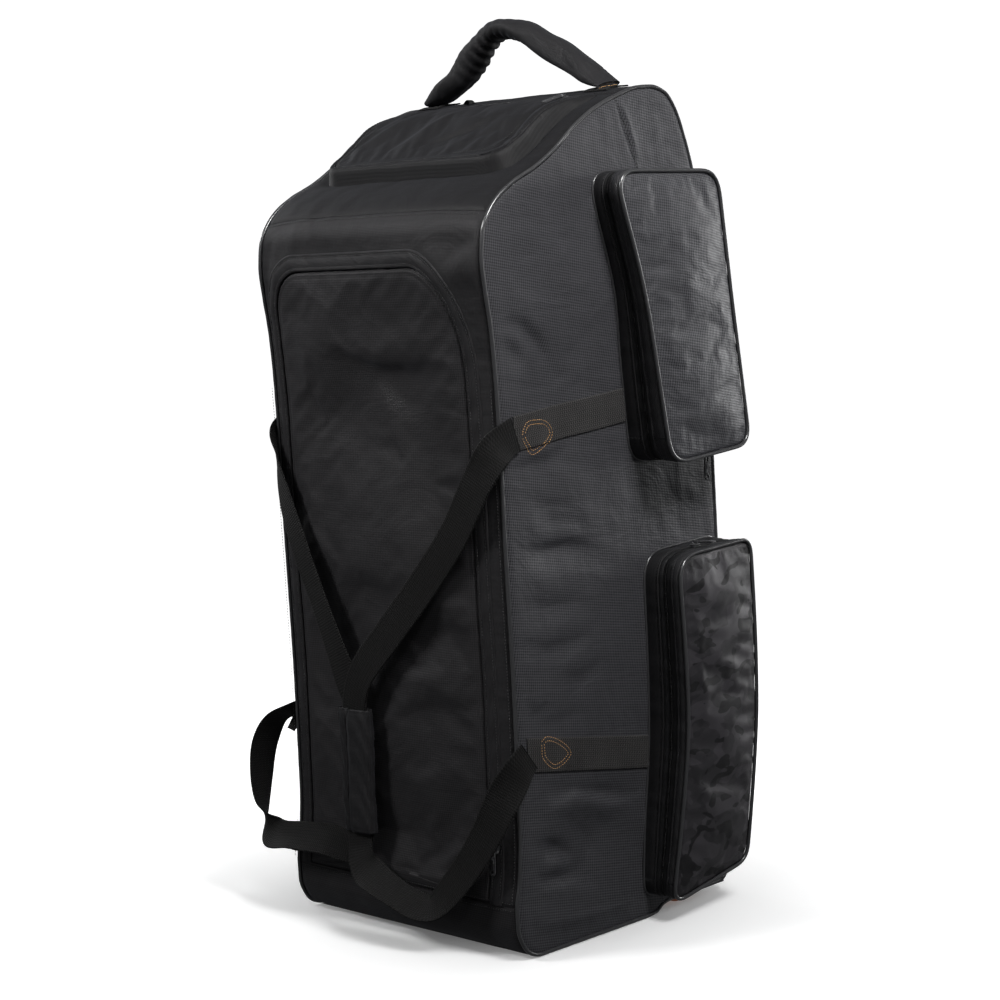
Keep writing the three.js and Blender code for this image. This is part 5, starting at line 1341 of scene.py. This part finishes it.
def sideWeb(name, look, end, side, node):
    (y0, z0), (y1, z1) = look["from"], look["to"]
    slope = (z1 - z0) / (y1 - y0)
    steps = 60
    ys = np.linspace(y0, end, steps)
    zs = z0 + slope * (ys - y0)
    y, z = ys * bag["depth"], zs * bag["height"]
    places = np.stack([y, z], 1)
    across = np.array([0.0, 1.0])

    def seatAt(py, pz, lift):
        x = sideCloth(py, pz, np.full(len(py), 0.05)) + 0.0001 + lift
        return np.stack([side * x, py, pz], 1)

    # the side straps take the lighter copy of the webbing, which is painted light
    return seatedBand(name, places, across, seatAt, bag["webWidth"], 0.0016, sideWebbingPaintedLight, [node])


def webEnd(look, line):
    z = look["to"][1] * bag["height"]
    edge = min(pocketEdge(line, z - bag["webWidth"] / 2), pocketEdge(line, z + bag["webWidth"] / 2))
    return (edge + 0.0005) / bag["depth"]


webUpperRight = sideWeb("webUpperRight", sideWebs["upper"], webEnd(sideWebs["upper"], upper["line"]),
                        1, "web_upper_right")
webLowerRight = sideWeb("webLowerRight", sideWebs["lower"], webEnd(sideWebs["lower"], lower["line"]),
                        1, "web_lower_right")
sideWeb("webUpperLeft", sideWebs["upper"], sideWebs["leftEnd"], -1, "web_upper_left")
sideWeb("webLowerLeft", sideWebs["lower"], sideWebs["leftEnd"], -1, "web_lower_left")
print("webbing made")


# grip wrap: a sleeve round both straps, closed by an overlapping seam

grip = {"x": -0.250 * halfWidth, "y": -1.093 * halfDepth, "z": 0.2010 * bag["height"],
        "length": 0.141, "width": 0.050, "thickness": 0.016, "rows": 72, "sides": 132}


def gripPiece():
    g = grip
    rings, flat = [], []
    for j in range(g["rows"] + 1):
        v = j / g["rows"]
        z = g["z"] + (v - 0.5) * g["length"]
        wide = g["width"] * (0.96 + 0.08 * v) * (1 - 0.02 * hump(v))
        end = ramp(0.05, 0, min(v, 1 - v))
        for k in range(g["sides"]):
            angle = 2 * math.pi * k / g["sides"]
            a, b = math.cos(angle), math.sin(angle)
            x = math.copysign(abs(a) ** 0.5, a) * wide / 2
            y = math.copysign(abs(b) ** 0.6, b) * g["thickness"] / 2
            out = 0.0006 * math.sin(9 * v + 3 * x / wide) + 0.0004 * math.sin(31 * v + 9 * a)
            if b < 0:
                lapAt = -0.0075 + 0.0020 * v
                out += -0.0046 * math.exp(-((x - lapAt + 0.0016) / 0.0016) ** 2)
                out += 0.0020 * math.exp(-((x - lapAt - 0.0030) / 0.0040) ** 2) * (x > lapAt)
                out -= 0.0014 * (x < lapAt - 0.002)
                for line in (-0.0130, 0.0205, -0.0215, -0.0030):
                    out -= 0.0005 * math.exp(-((x - line) / 0.0009) ** 2)
            out -= 0.0008 * end
            for line in (0.030, 0.970):
                out -= 0.0005 * math.exp(-((v - line) * g["length"] / 0.0010) ** 2)
            rings.append((g["x"] + x + a * out, g["y"] + y + b * out, z))
            flat.append((k / g["sides"] * 0.116, z))
    count = g["sides"]
    faces = gridFaces(g["rows"] + 1, count, True)
    for z, share, ring in ((g["z"] + g["length"] / 2 - 0.0015, 1.04, g["rows"]),
                           (g["z"] - g["length"] / 2 + 0.0015, 0.96, 0)):
        start = len(rings)
        for k in range(count):
            angle = 2 * math.pi * k / count
            a, b = math.cos(angle), math.sin(angle)
            x = math.copysign(abs(a) ** 0.5, a) * (g["width"] * share - 0.0036) / 2
            y = math.copysign(abs(b) ** 0.6, b) * (g["thickness"] - 0.0036) / 2
            rings.append((g["x"] + x, g["y"] + y, z))
            flat.append((k / count * 0.116, z))
        deep = len(rings)
        for k in range(count):
            px, py, pz = rings[start + k]
            rings.append((px, py, pz + (-0.02 if ring else 0.02)))
            flat.append((k / count * 0.116, pz))
        for k in range(count):
            n = (k + 1) % count
            outer, outerNext = ring * count + k, ring * count + n
            if ring:
                faces.append((outer, outerNext, start + n, start + k))
                faces.append((start + k, start + n, deep + n, deep + k))
            else:
                faces.append((outerNext, outer, start + k, start + n))
                faces.append((start + n, start + k, deep + k, deep + n))
    return makeObject("gripWrap", rings, faces, flat)


gripWrap = gripPiece()
place(gripWrap, gripCloth, "grip_cloth", ["grip_wrap"])


# top handle: a padded tube that puckers at its inner bend, ends flattened on two feet

handle = {
    "y": 0.185 * bag["depth"], "rise": 0.079 * bag["height"], "sides": 36, "rows": 180,
    "stations": [
        (-0.384, 0.050, 0.16, 0.50), (-0.350, 0.135, 0.30, 0.48), (-0.300, 0.270, 0.38, 0.46),
        (-0.245, 0.400, 0.45, 0.46), (-0.190, 0.620, 0.46, 0.46), (-0.130, 0.860, 0.38, 0.44),
        (-0.080, 0.990, 0.31, 0.44), (-0.020, 1.000, 0.30, 0.44), (0.060, 0.880, 0.33, 0.44),
        (0.140, 0.680, 0.34, 0.44), (0.220, 0.480, 0.33, 0.46), (0.290, 0.300, 0.28, 0.48),
        (0.350, 0.115, 0.19, 0.50), (0.388, 0.018, 0.10, 0.50)],
}


def topOf(x, y):
    rows = fineRow[topRows]
    p = wrapPoint(np.full(len(rows), x), rows)
    order = np.argsort(p[:, 1])
    return float(np.interp(y, p[order, 1], p[order, 2]))


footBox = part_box("handle_foot_right")
footTop = float(footBox[1][2])


def handlePiece():
    h = handle
    table = np.array(h["stations"])
    crown = footTop - 0.0002 + h["rise"]
    xs = (table[:, 0] - 0.006) * bag["width"]
    seats = np.array([topOf(x, h["y"]) for x in xs]) + 0.0026
    footSeat = float(seats.min())
    zs = seats + table[:, 1] * (crown - seats)
    path = catmull(np.stack([xs, zs, table[:, 2], table[:, 3]], 1) * [1, 1, 0.05, 0.05], h["rows"])
    middle, half = path[:, :2], path[:, 2:] / 0.05 * bag["webWidth"]
    along = unit(np.gradient(middle, axis=0))
    s = runLength(middle)
    share = s / s[-1]
    crestSlope = (topOf(0.13, h["y"] + 0.015) - topOf(0.13, h["y"] - 0.015)) / 0.03
    near = 1 - ramp(0.0, 0.35, (middle[:, 1] - footSeat) / h["rise"])
    foldShare = ramp(0.52, 0.66, share) * ramp(1.0, 0.9, share)
    rings, flat = [], []
    for j in range(len(middle)):
        up = np.array([-along[j][1], 0, along[j][0]])
        bend = math.exp(-((share[j] - 0.36) / 0.15) ** 2)
        boxy = 0.75 + 0.25 * min(1, half[j][0] / 0.012)
        for k in range(h["sides"]):
            angle = 2 * math.pi * (k + 0.5) / h["sides"]
            a, b = math.cos(angle), math.sin(angle)
            a2, b2 = math.copysign(abs(a) ** boxy, a), math.copysign(abs(b) ** boxy, b)
            wide, high = a2 * half[j][1], b2 * half[j][0]
            inner = max(0.0, -b) ** 0.7
            wave = math.sin(s[j] / 0.0062 * math.pi + 1.3 * a) * 0.0011 * bend * (0.35 + inner)
            slow = 0.0008 * math.sin(s[j] / 0.031 * math.pi + 2.1 * a + 1.7 * b)
            lap = -0.0012 * math.exp(-((a - 0.15) / 0.06) ** 2) * (b < 0) * min(1, half[j][0] / 0.008)
            grow = (wave + slow) * min(1, half[j][0] / 0.008) + lap
            fold = 0.0034 * math.exp(-((angle - 3.85) / 0.42) ** 2) * foldShare[j]
            grow += fold - 0.0016 * math.exp(-((angle - 4.75) / 0.5) ** 2) * foldShare[j]
            x = middle[j][0] + up[0] * (high + b * grow)
            z = middle[j][1] + up[2] * (high + b * grow) + crestSlope * (wide + a * grow) * near[j]
            rings.append((x, h["y"] + wide + a * grow, z))
            flat.append((s[j], angle * 0.016))
    faces = gridFaces(len(middle), h["sides"], True)
    faces += endCaps(len(middle), h["sides"])
    return makeObject("topHandle", rings, [f[::-1] for f in faces], flat)


topHandle = handlePiece()
place(topHandle, gripCloth, "grip_cloth", ["top_handle"])
ringShare = np.repeat(np.arange(handle["rows"] + 1) / handle["rows"], handle["sides"])
settle(topHandle, (ringShare < 0.10) | (ringShare > 0.90), pressure=2.0, slack=0.02, most=0.003)


footLook = {"length": 0.034, "outer": 0.375 * bag["width"] + 0.034 * 0.45}
for side, word in ((1, "right"), (-1, "left")):
    xs = np.linspace(footLook["outer"] - footLook["length"], footLook["outer"], 14)

    def seatOn(px, py, lift):
        high = np.array([topOf(a, b) for a, b in zip(px, py)])
        return np.stack([px, py, high + 0.0004 + lift], 1)

    seatedBand("handleFoot" + word.capitalize(), np.stack([side * xs, np.full(14, handle["y"])], 1),
               np.array([0.0, 1.0]), seatOn, bag["webWidth"], 0.0019, webbing, ["handle_foot_" + word])
print("handle made")


# wheels

wheel = {"radius": 0.042, "width": 0.025, "y": 0.110, "tyre": 0.007, "segments": 96}
wheelX = float((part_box("tyre_right")[0][0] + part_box("tyre_right")[1][0]) / 2)


def turned(name, profile, x):
    run = runLength(np.array(profile))
    rings, flat = [], []
    for k in range(wheel["segments"]):
        angle = 2 * math.pi * k / wheel["segments"]
        for (radius, side), s in zip(profile, run):
            y, z = radius * math.sin(angle), radius * math.cos(angle)
            rings.append((x + side, wheel["y"] + y, wheel["radius"] + z))
            flat.append((angle * radius, s))
    return makeObject(name, rings, gridFaces(wheel["segments"], len(profile), True, True), flat)


def mirrored(half):
    return half + [(radius, -side) for radius, side in half[::-1]]


outer, rimRadius = wheel["radius"], wheel["radius"] - wheel["tyre"]
w = wheel["width"] / 2
groove = [(outer, -w * 0.45), (outer - 0.0005, -w * 0.40), (outer - 0.0005, -w * 0.32), (outer, -w * 0.27)]
shoulder = [(rimRadius, -w), (rimRadius + 0.002, -w - 0.0002), (outer - 0.0028, -w + 0.0003),
            (outer - 0.0009, -w + 0.0014), (outer - 0.0001, -w + 0.0036)]
tyreProfile = mirrored(shoulder + groove)
hubHalf = w + 0.004 - 0.0006
hubProfile = mirrored([
    (0.0045, -hubHalf), (0.0090, -hubHalf), (0.0096, -hubHalf + 0.0008), (0.0100, -w * 0.62),
    (0.0140, -w * 0.50), (0.0260, -w * 0.42), (0.0290, -w * 0.60), (0.0300, -w * 0.92),
    (0.0325, -w), (rimRadius - 0.0003, -w + 0.0004)])


def spokesFor(name, x):
    verts, faces = [], []
    for side in (-1, 1):
        for k in range(6):
            angle = math.pi / 3 * k + 0.2
            base = len(verts)
            for radius, reach in ((0.0098, 0.0030), (0.0292, 0.0022)):
                for a, b in ((-reach, 0.36), (reach, 0.36), (reach * 0.5, 0.60), (-reach * 0.5, 0.60)):
                    y = radius * math.sin(angle) + a * math.cos(angle)
                    z = radius * math.cos(angle) - a * math.sin(angle)
                    verts.append((x + side * w * b, wheel["y"] + y, wheel["radius"] + z))
            for m in range(4):
                faces.append((base + m, base + (m + 1) % 4, base + 4 + (m + 1) % 4, base + 4 + m))
    return makeObject(name, verts, faces, smooth=False)


def dress(node, material):
    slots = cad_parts[node].data.materials
    slots.clear()
    slots.append(material)


for side, word in ((-1, "left"), (1, "right")):
    body = "wheel_" + word
    tyre = turned("tyre" + word.capitalize(), tyreProfile, side * wheelX)
    place(tyre, tyreRubber, "orange_tyre", ["tyre_" + word], body)
    hub = turned("hub" + word.capitalize(), hubProfile, side * wheelX)
    place(hub, hubPlastic, "hub_plastic", ["hub_" + word], body)
    spokes = spokesFor("spokes" + word.capitalize(), side * wheelX)
    place(spokes, hubPlastic, "hub_plastic", [], body)
    dress("axle_" + word, axleSteel)
dress("wheel_base", moulding)
print("wheels made")


# zip pulls, each built in its own axes and set where the solid is

def axesOf(node, outHint):
    co = np.array([v.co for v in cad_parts[node].data.vertices], float)
    centre = co.mean(0)
    _, _, rows = np.linalg.svd(co - centre, full_matrices=False)
    long, wide, thin = rows
    if thin @ outHint < 0:
        thin = -thin
    wide = np.cross(thin, long)
    axes = (long, wide, thin)
    mids = [((co @ axis).min() + (co @ axis).max()) / 2 for axis in axes]
    centre = sum(mid * axis for mid, axis in zip(mids, axes))
    return centre, long, wide, thin


def extrude(loopPoints, holes, low, high):
    loop = leftTurn(np.asarray(loopPoints, float))
    points = [Vector(p) for p in loop]
    edges = [(k, (k + 1) % len(loop)) for k in range(len(loop))]
    for hole in holes:
        start = len(points)
        points += [Vector(p) for p in hole]
        edges += [(start + k, start + (k + 1) % len(hole)) for k in range(len(hole))]
    out = delaunay_2d_cdt(points, edges, [], 0, 1e-9)
    flat = np.array([tuple(v) for v in out[0]])
    tris = np.array([f for f in out[2] if len(f) == 3])
    middle = flat[tris].mean(1)
    ok = insideLoop(middle, loop)
    for hole in holes:
        ok &= ~insideLoop(middle, np.asarray(hole, float))
    tris = tris[ok]
    count = len(flat)
    verts = [(x, y, low) for x, y in flat] + [(x, y, high) for x, y in flat]
    faces = [tuple(t[::-1]) for t in tris] + [tuple(t + count) for t in tris]
    uses = {}
    for t in tris:
        for a, b in ((t[0], t[1]), (t[1], t[2]), (t[2], t[0])):
            uses[(a, b)] = True
    for a, b in uses:
        if (b, a) not in uses:
            faces.append((a, b, b + count, a + count))
    return verts, faces


def arcPoints(cx, cy, radius, start, end, count):
    return [(cx + radius * math.cos(t), cy + radius * math.sin(t)) for t in np.linspace(start, end, count)]


def setIn(name, verts, faces, centre, long, wide, thin, bevel):
    world = [centre + v[0] * wide + v[1] * long + v[2] * thin for v in np.asarray(verts, float)]
    obj = makeObject(name, world, faces)
    edge = obj.modifiers.new("bevel", "BEVEL")
    edge.width, edge.segments, edge.limit_method = bevel, 3, "ANGLE"
    edge.angle_limit = math.radians(40)
    obj.modifiers.new("even", "WEIGHTED_NORMAL")
    return place(obj, zipMetal, "zip_metal")


pull = {"half": 0.004, "length": 0.030, "thick": 0.0018}
slide = {"width": 0.008, "length": 0.012, "high": 0.005, "plate": 0.0014, "gap": 0.0022}


def pullFor(word, outHint):
    centre, long, wide, thin = axesOf(word + "_puller", np.asarray(outHint, float))
    half, length, thick = pull["half"], pull["length"], pull["thick"]
    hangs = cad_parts[word + "_slider"]
    sliderAt = np.array([v.co for v in hangs.data.vertices], float).mean(0)
    if (sliderAt - centre) @ long < 0:
        long = -long
        wide = -wide
    top = length / 2
    outline = [(-half * 0.7, top), (-half * 0.86, top - 0.006), (-half, 0.0), (-half, -top + half)]
    outline += arcPoints(0, -top + half, half, math.pi, 2 * math.pi, 14)[1:]
    outline += [(half, 0.0), (half * 0.86, top - 0.006), (half * 0.7, top)]
    slot = [(-half * 0.42, top - 0.0018), (half * 0.42, top - 0.0018), (half * 0.42, top - 0.0090),
            (-half * 0.42, top - 0.0090)]
    eye = arcPoints(0, -top + half, half * 0.52, 0, 2 * math.pi, 17)[:-1]
    verts, faces = extrude(outline, [slot, eye], -thick / 2, thick / 2)
    puller = setIn(word + "Puller", verts, faces, centre, long, wide, thin, 0.00035)
    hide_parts(word + "_puller")
    verts, faces = extrude([(-half * 0.5, -0.0085), (half * 0.5, -0.0085), (half * 0.5, 0.0035),
                            (-half * 0.5, 0.0035)], [], thick / 2 - 0.0002, thick / 2 + 0.0004)
    setIn(word + "PullerRidge", verts, faces, centre, long, wide, thin, 0.0003)
    centre, long, wide, thin = axesOf(word + "_slider", np.asarray(outHint, float))
    width, length, high = slide["width"], slide["length"], slide["high"]
    plate = [(-width * 0.35, -length / 2), (width * 0.35, -length / 2), (width * 0.5, -length * 0.2),
             (width * 0.5, length / 2 - 0.001), (width * 0.4, length / 2), (-width * 0.4, length / 2),
             (-width * 0.5, length / 2 - 0.001), (-width * 0.5, -length * 0.2)]
    verts, faces = extrude(plate, [], -high / 2, -high / 2 + slide["plate"])
    slider = setIn(word + "Slider", verts, faces, centre, long, wide, thin, 0.0005)
    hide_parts(word + "_slider")
    verts, faces = extrude(plate, [], -high / 2 + slide["gap"], -high / 2 + slide["gap"] + slide["plate"])
    setIn(word + "SliderTop", verts, faces, centre, long, wide, thin, 0.0006)
    verts, faces = extrude([(-0.0016, length * 0.10), (0.0016, length * 0.10), (0.0016, length / 2 - 0.0006),
                            (-0.0016, length / 2 - 0.0006)], [], -high / 2 + 0.001, -high / 2 + 0.003)
    setIn(word + "SliderPost", verts, faces, centre, long, wide, thin, 0.0002)
    t = np.linspace(0, math.pi, 15)
    bow = np.stack([0 * t, -np.cos(t) * length * 0.32, -high / 2 + 0.0030 + np.sin(t) * 0.0032], 1)
    world = np.array([centre + v[0] * wide + v[1] * long + v[2] * thin for v in bow])
    bridge = tubeMesh(word + "SliderBridge", world, 0.0008, 10, False, tuple(wide))
    place(bridge, zipMetal, "zip_metal")


pullFor("main", (0, -1, 0))
pullFor("lower", (0, 0, 1))
pullFor("end", (0, 0, 1))
pullFor("upper", (0.2, 0, -1))
print("zip pulls made")


# small tabs, bent loops of narrow webbing

tabs = {"sideWidth": 0.018, "thickness": 0.0014}
low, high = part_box("side_tab")
middleY, middleZ = (low[1] + high[1]) / 2, (low[2] + high[2]) / 2
loop = np.array([(high[0], middleY, low[2] + 0.0004), (low[0] + 0.004, middleY, low[2] + 0.0002),
                 (low[0] + 0.0005, middleY, middleZ), (low[0] + 0.004, middleY, high[2] - 0.0002),
                 (high[0], middleY, high[2] - 0.0004)])
middle = catmull(loop, 40)
turn = unit(np.cross(unit(np.gradient(middle, axis=0)), np.array([0.0, 1.0, 0.0])))
bandMesh("sideTab", middle, -turn, tabs["sideWidth"], tabs["thickness"], ["side_tab"])

low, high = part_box("crest_tab")
middleY, width = (low[1] + high[1]) / 2, high[1] - low[1]
loop = np.array([(low[0], middleY, low[2] + 0.0006), ((low[0] + high[0]) / 2, middleY, high[2] + 0.0006),
                 (high[0], middleY, low[2] + 0.0006)])
middle = catmull(loop, 20)
bandMesh("crestTab", middle, np.tile([0.0, 0.0, 1.0], (21, 1)), float(width), tabs["thickness"],
         ["crest_tab"])
print("tabs made")


# stitching

def onWrap(line, raised):
    p = np.asarray(line, float)
    rows = rowAt(frontLengthAt(p[:, 1]))
    points = wrapPoint(p[:, 0], rows, raised)
    y, z, ny, nz = outlineAt(rows)
    return points, np.stack([np.zeros(len(p)), ny, nz], 1)


def spread(line, spacing=0.002):
    return evenLoop(line, spacing, closed=False)


seams = []
seams.append(onWrap(spread(flapLine(0.0036, kickZ + 0.003)), flap["flyRaise"] - 0.0002))
seams.append(onWrap(spread(flapLine(0.0148, kickZ + 0.003)), flap["flyRaise"] - 0.0004))
for edge in (flap["left"] - flap["flyWidth"] - 0.0135, flap["right"] + flap["flyWidth"] + 0.0135):
    seams.append(onWrap(spread([(edge, kickZ + 0.003), (edge, 0.66 * bag["height"])]), 0.0007))
sideSeam = spread([(0.026, 0.926), (0.034, 0.912), (0.042, 0.896), (0.060, 0.848), (0.066, 0.830)])
for shift in (-0.0010, 0.0010):
    at = sideSeam + [shift, 0]
    seams.append((np.stack([sideCloth(at[:, 0], at[:, 1], np.full(len(at), 0.05)) + 0.0002,
                            at[:, 0], at[:, 1]], 1), np.tile([1.0, 0.0, 0.0], (len(at), 1))))
for seam, shift in (("shoulder", -0.004), ("kick", 0.004), ("kick", -0.004), ("crest", 0.004)):
    rows = np.full(170, float(rowAt(lengthAt(seamRow[seam]) + shift)))
    x = np.linspace(-wrapHalf + 0.003, wrapHalf - 0.003, 170)
    points = wrapPoint(x, rows, 0.0002)
    y, z, ny, nz = outlineAt(rows)
    seams.append((points, np.stack([0 * ny, ny, nz], 1)))
for loopInset in (0.0156, 0.0272):
    line = evenLoop(endLoop(loopInset), 0.002)
    if loopInset > 0.02:
        line = line[(line[:, 0] > 0.06)]
    points = endSurface(line[:, 0], line[:, 1], lambda inside: 0.0)
    seams.append((points, np.tile([0.0, -0.3, 0.95], (len(line), 1))))
for pocket in (upper, lower):
    for key in ("gusset", "rim"):
        ring = pocket["rows"][key]
        out = insetLoop(pocket["line"], -0.01) - pocket["line"]
        normal = np.concatenate([np.zeros((len(out), 1)), out], 1)
        seams.append((ring + unit(normal) * 0.0002, unit(normal)))
stitchMesh("seamStitches", seams, darkThread)


def shieldLine(points):
    return evenLoop(smoothLoop(np.array(points) + [0, 0.006], 6)[:-1], 0.0015)


shields = {
    "upper": [(-0.143, 0.559), (-0.138, 0.570), (-0.128, 0.5745), (-0.112, 0.574), (-0.097, 0.567),
              (-0.094, 0.559), (-0.112, 0.543), (-0.126, 0.538), (-0.136, 0.546)],
    "lower": [(-0.134, 0.228), (-0.124, 0.2325), (-0.108, 0.227), (-0.089, 0.209), (-0.103, 0.198),
              (-0.113, 0.196), (-0.126, 0.203), (-0.134, 0.215)],
}


def treeOf(objects):
    verts, faces = [], []
    for obj in objects:
        start = len(verts)
        verts += [v.co.copy() for v in obj.data.vertices]
        faces += [tuple(start + i for i in p.vertices) for p in obj.data.polygons]
    return BVHTree.FromPolygons(verts, faces)


webTree = treeOf([webUpperRight, webLowerRight, strapRight, sideRight])
patchLines = []
for points in shields.values():
    outer = shieldLine(points)
    for inset in (0.0, 0.0042):
        ring = insetLoop(leftTurn(outer), inset)
        ring = np.concatenate([ring, ring[:1]])
        placed = []
        for y, z in ring:
            hit = webTree.ray_cast(Vector((0.4, y, z)), Vector((-1, 0, 0)))
            placed.append((hit[0][0] if hit[0] is not None else sideX, y, z))
        patchLines.append((np.array(placed), np.tile([1.0, 0.0, 0.0], (len(placed), 1))))
stitchMesh("shieldStitches", patchLines, tanThread, 0.0030, 0.00042, 0.66)
footY = handle["y"]
bar = []
for shift in (0.0, 0.0022):
    x = 0.3755 * bag["width"] + shift
    ys = np.linspace(footY - 0.016, footY + 0.016, 30)
    zs = np.array([topOf(x, y) + 0.0028 for y in ys])
    bar.append((np.stack([np.full(30, x), ys, zs], 1), np.tile([0.0, 0.0, 1.0], (30, 1))))
stitchMesh("footStitches", bar, tanThread, 0.0028, 0.0004, 0.66)
print("stitches made")


# camera, light and floor

view = {"azimuth": 44.421, "pitch": 5.946, "roll": -2.491, "lens": 82.09,
        "place": (1.8437, -1.8766, 0.7486)}


def setCamera():
    a, e, r = (math.radians(view[k]) for k in ("azimuth", "pitch", "roll"))
    back = Vector((math.sin(a) * math.cos(e), -math.cos(a) * math.cos(e), math.sin(e)))
    forward = -back
    right0 = forward.cross(Vector((0, 0, 1))).normalized()
    up0 = right0.cross(forward)
    right = math.cos(r) * right0 + math.sin(r) * up0
    up = -math.sin(r) * right0 + math.cos(r) * up0
    data = bpy.data.cameras.new("view")
    data.lens, data.sensor_width = view["lens"], 36
    data.clip_end = 60
    camera = bpy.data.objects.new("view", data)
    bpy.context.scene.collection.objects.link(camera)
    matrix = Matrix((right, up, back)).transposed().to_4x4()
    matrix.translation = Vector(view["place"])
    camera.matrix_world = matrix
    bpy.context.scene.camera = camera


setCamera()

lights = {
    "key": {"at": (1.7, -0.3, 2.30), "size": 0.9, "power": 7.2, "aim": 0.80, "spread": 56},
    "front": {"at": (-1.2, -2.2, 2.5), "size": 0.9, "power": 5.4, "aim": 0.88, "spread": 48},
    "left": {"at": (-2.6, 0.2, 1.4), "size": 1.2, "power": 5, "aim": 0.60, "spread": 120},
    "back": {"at": (0.7, 2.8, 0.90), "size": 1.4, "power": 9, "aim": 0.45, "spread": 100},
    "strip": {"at": (0.9, -2.9, 1.5), "size": 0.5, "power": 1.5, "aim": 0.50, "spread": 120},
}
for name, look in lights.items():
    data = bpy.data.lights.new(name, "AREA")
    data.shape, data.size, data.energy = "DISK", look["size"], look["power"]
    data.spread = math.radians(look["spread"])
    lamp = bpy.data.objects.new(name, data)
    lamp.location = look["at"]
    aim = Vector((0, 0, look["aim"])) - Vector(look["at"])
    lamp.rotation_euler = aim.to_track_quat("-Z", "Y").to_euler()
    bpy.context.scene.collection.objects.link(lamp)

world = bpy.data.worlds.new("studio")
bpy.context.scene.world = world
world.use_nodes = True
world.node_tree.nodes["Background"].inputs["Color"].default_value = (0.96, 0.98, 1, 1)
world.node_tree.nodes["Background"].inputs["Strength"].default_value = 0.10

# the floor glows white away from the bag and darkens under it, so that a shadow shows on white
floorLook = {"near": 0.16, "far": 0.62, "radius": 12, "sides": 64, "sink": 0.0002}
floorMaterial, floorTree, floorShader = newMaterial("pale_floor")
floorTone = noise(floorTree, objectPlace(floorTree), 3.0, 2.0, 0.5)
finishShader(floorTree, floorShader,
             mixColour(floorTree, floorTone, (0.90, 0.90, 0.90, 1), (0.92, 0.92, 0.92, 1)),
             0.7, None, 0, {"Specular IOR Level": 0.1, "Emission Strength": 1.0})
floorPlace = objectPlace(floorTree)
floorX = add(floorTree, "ShaderNodeSeparateXYZ", {}, [floorPlace], 0)
floorY = add(floorTree, "ShaderNodeSeparateXYZ", {}, [floorPlace], 1)
floorFar = (floorX * floorX + floorY * floorY).math("SQRT").between(floorLook["near"], floorLook["far"])
floorGlow = mixColour(floorTree, floorFar, (0.10, 0.10, 0.10, 1), (0.97, 0.97, 0.97, 1))
floorTree.links.new(floorGlow.link, floorShader.inputs["Emission Color"])
ring = []
for k in range(floorLook["sides"]):
    turn = 2 * math.pi * k / floorLook["sides"]
    ring.append((floorLook["radius"] * math.cos(turn), floorLook["radius"] * math.sin(turn), 0))
floor = makeObject("floor", ring, [tuple(range(len(ring)))], smooth=False)
floor.location.z = -floorLook["sink"]
floor.data.materials.append(floorMaterial)
floor.visible_diffuse = False
floor.visible_glossy = False

backMaterial, backTree, backShader = newMaterial("white_backdrop")
finishShader(backTree, backShader, (1, 1, 1, 1), 1.0, None, 0,
             {"Emission Color": (1, 1, 1, 1), "Emission Strength": 1.0})
dome = {"rows": 16, "sides": 64, "radius": 11.9, "below": 4}
sky = []
for j in range(dome["rows"] + 1):
    lift = math.radians(-dome["below"] + (90 + dome["below"]) * j / dome["rows"])
    for k in range(dome["sides"]):
        turn = 2 * math.pi * k / dome["sides"]
        out, up = dome["radius"] * math.cos(lift), dome["radius"] * math.sin(lift)
        sky.append((out * math.cos(turn), out * math.sin(turn), up))
backdrop = makeObject("backdrop", sky, gridFaces(dome["rows"] + 1, dome["sides"], True))
backdrop.data.materials.append(backMaterial)
backdrop.visible_diffuse = False
backdrop.visible_glossy = False
backdrop.visible_shadow = False
bpy.context.scene.view_settings.view_transform = "Standard"
print("camera, lights and floor made")

triangles = {o.name: sum(len(p.vertices) - 2 for p in o.data.polygons)
             for o in bpy.data.objects if o.type == "MESH"}
print("triangles:", sum(triangles.values()), "largest", max(triangles.values()))
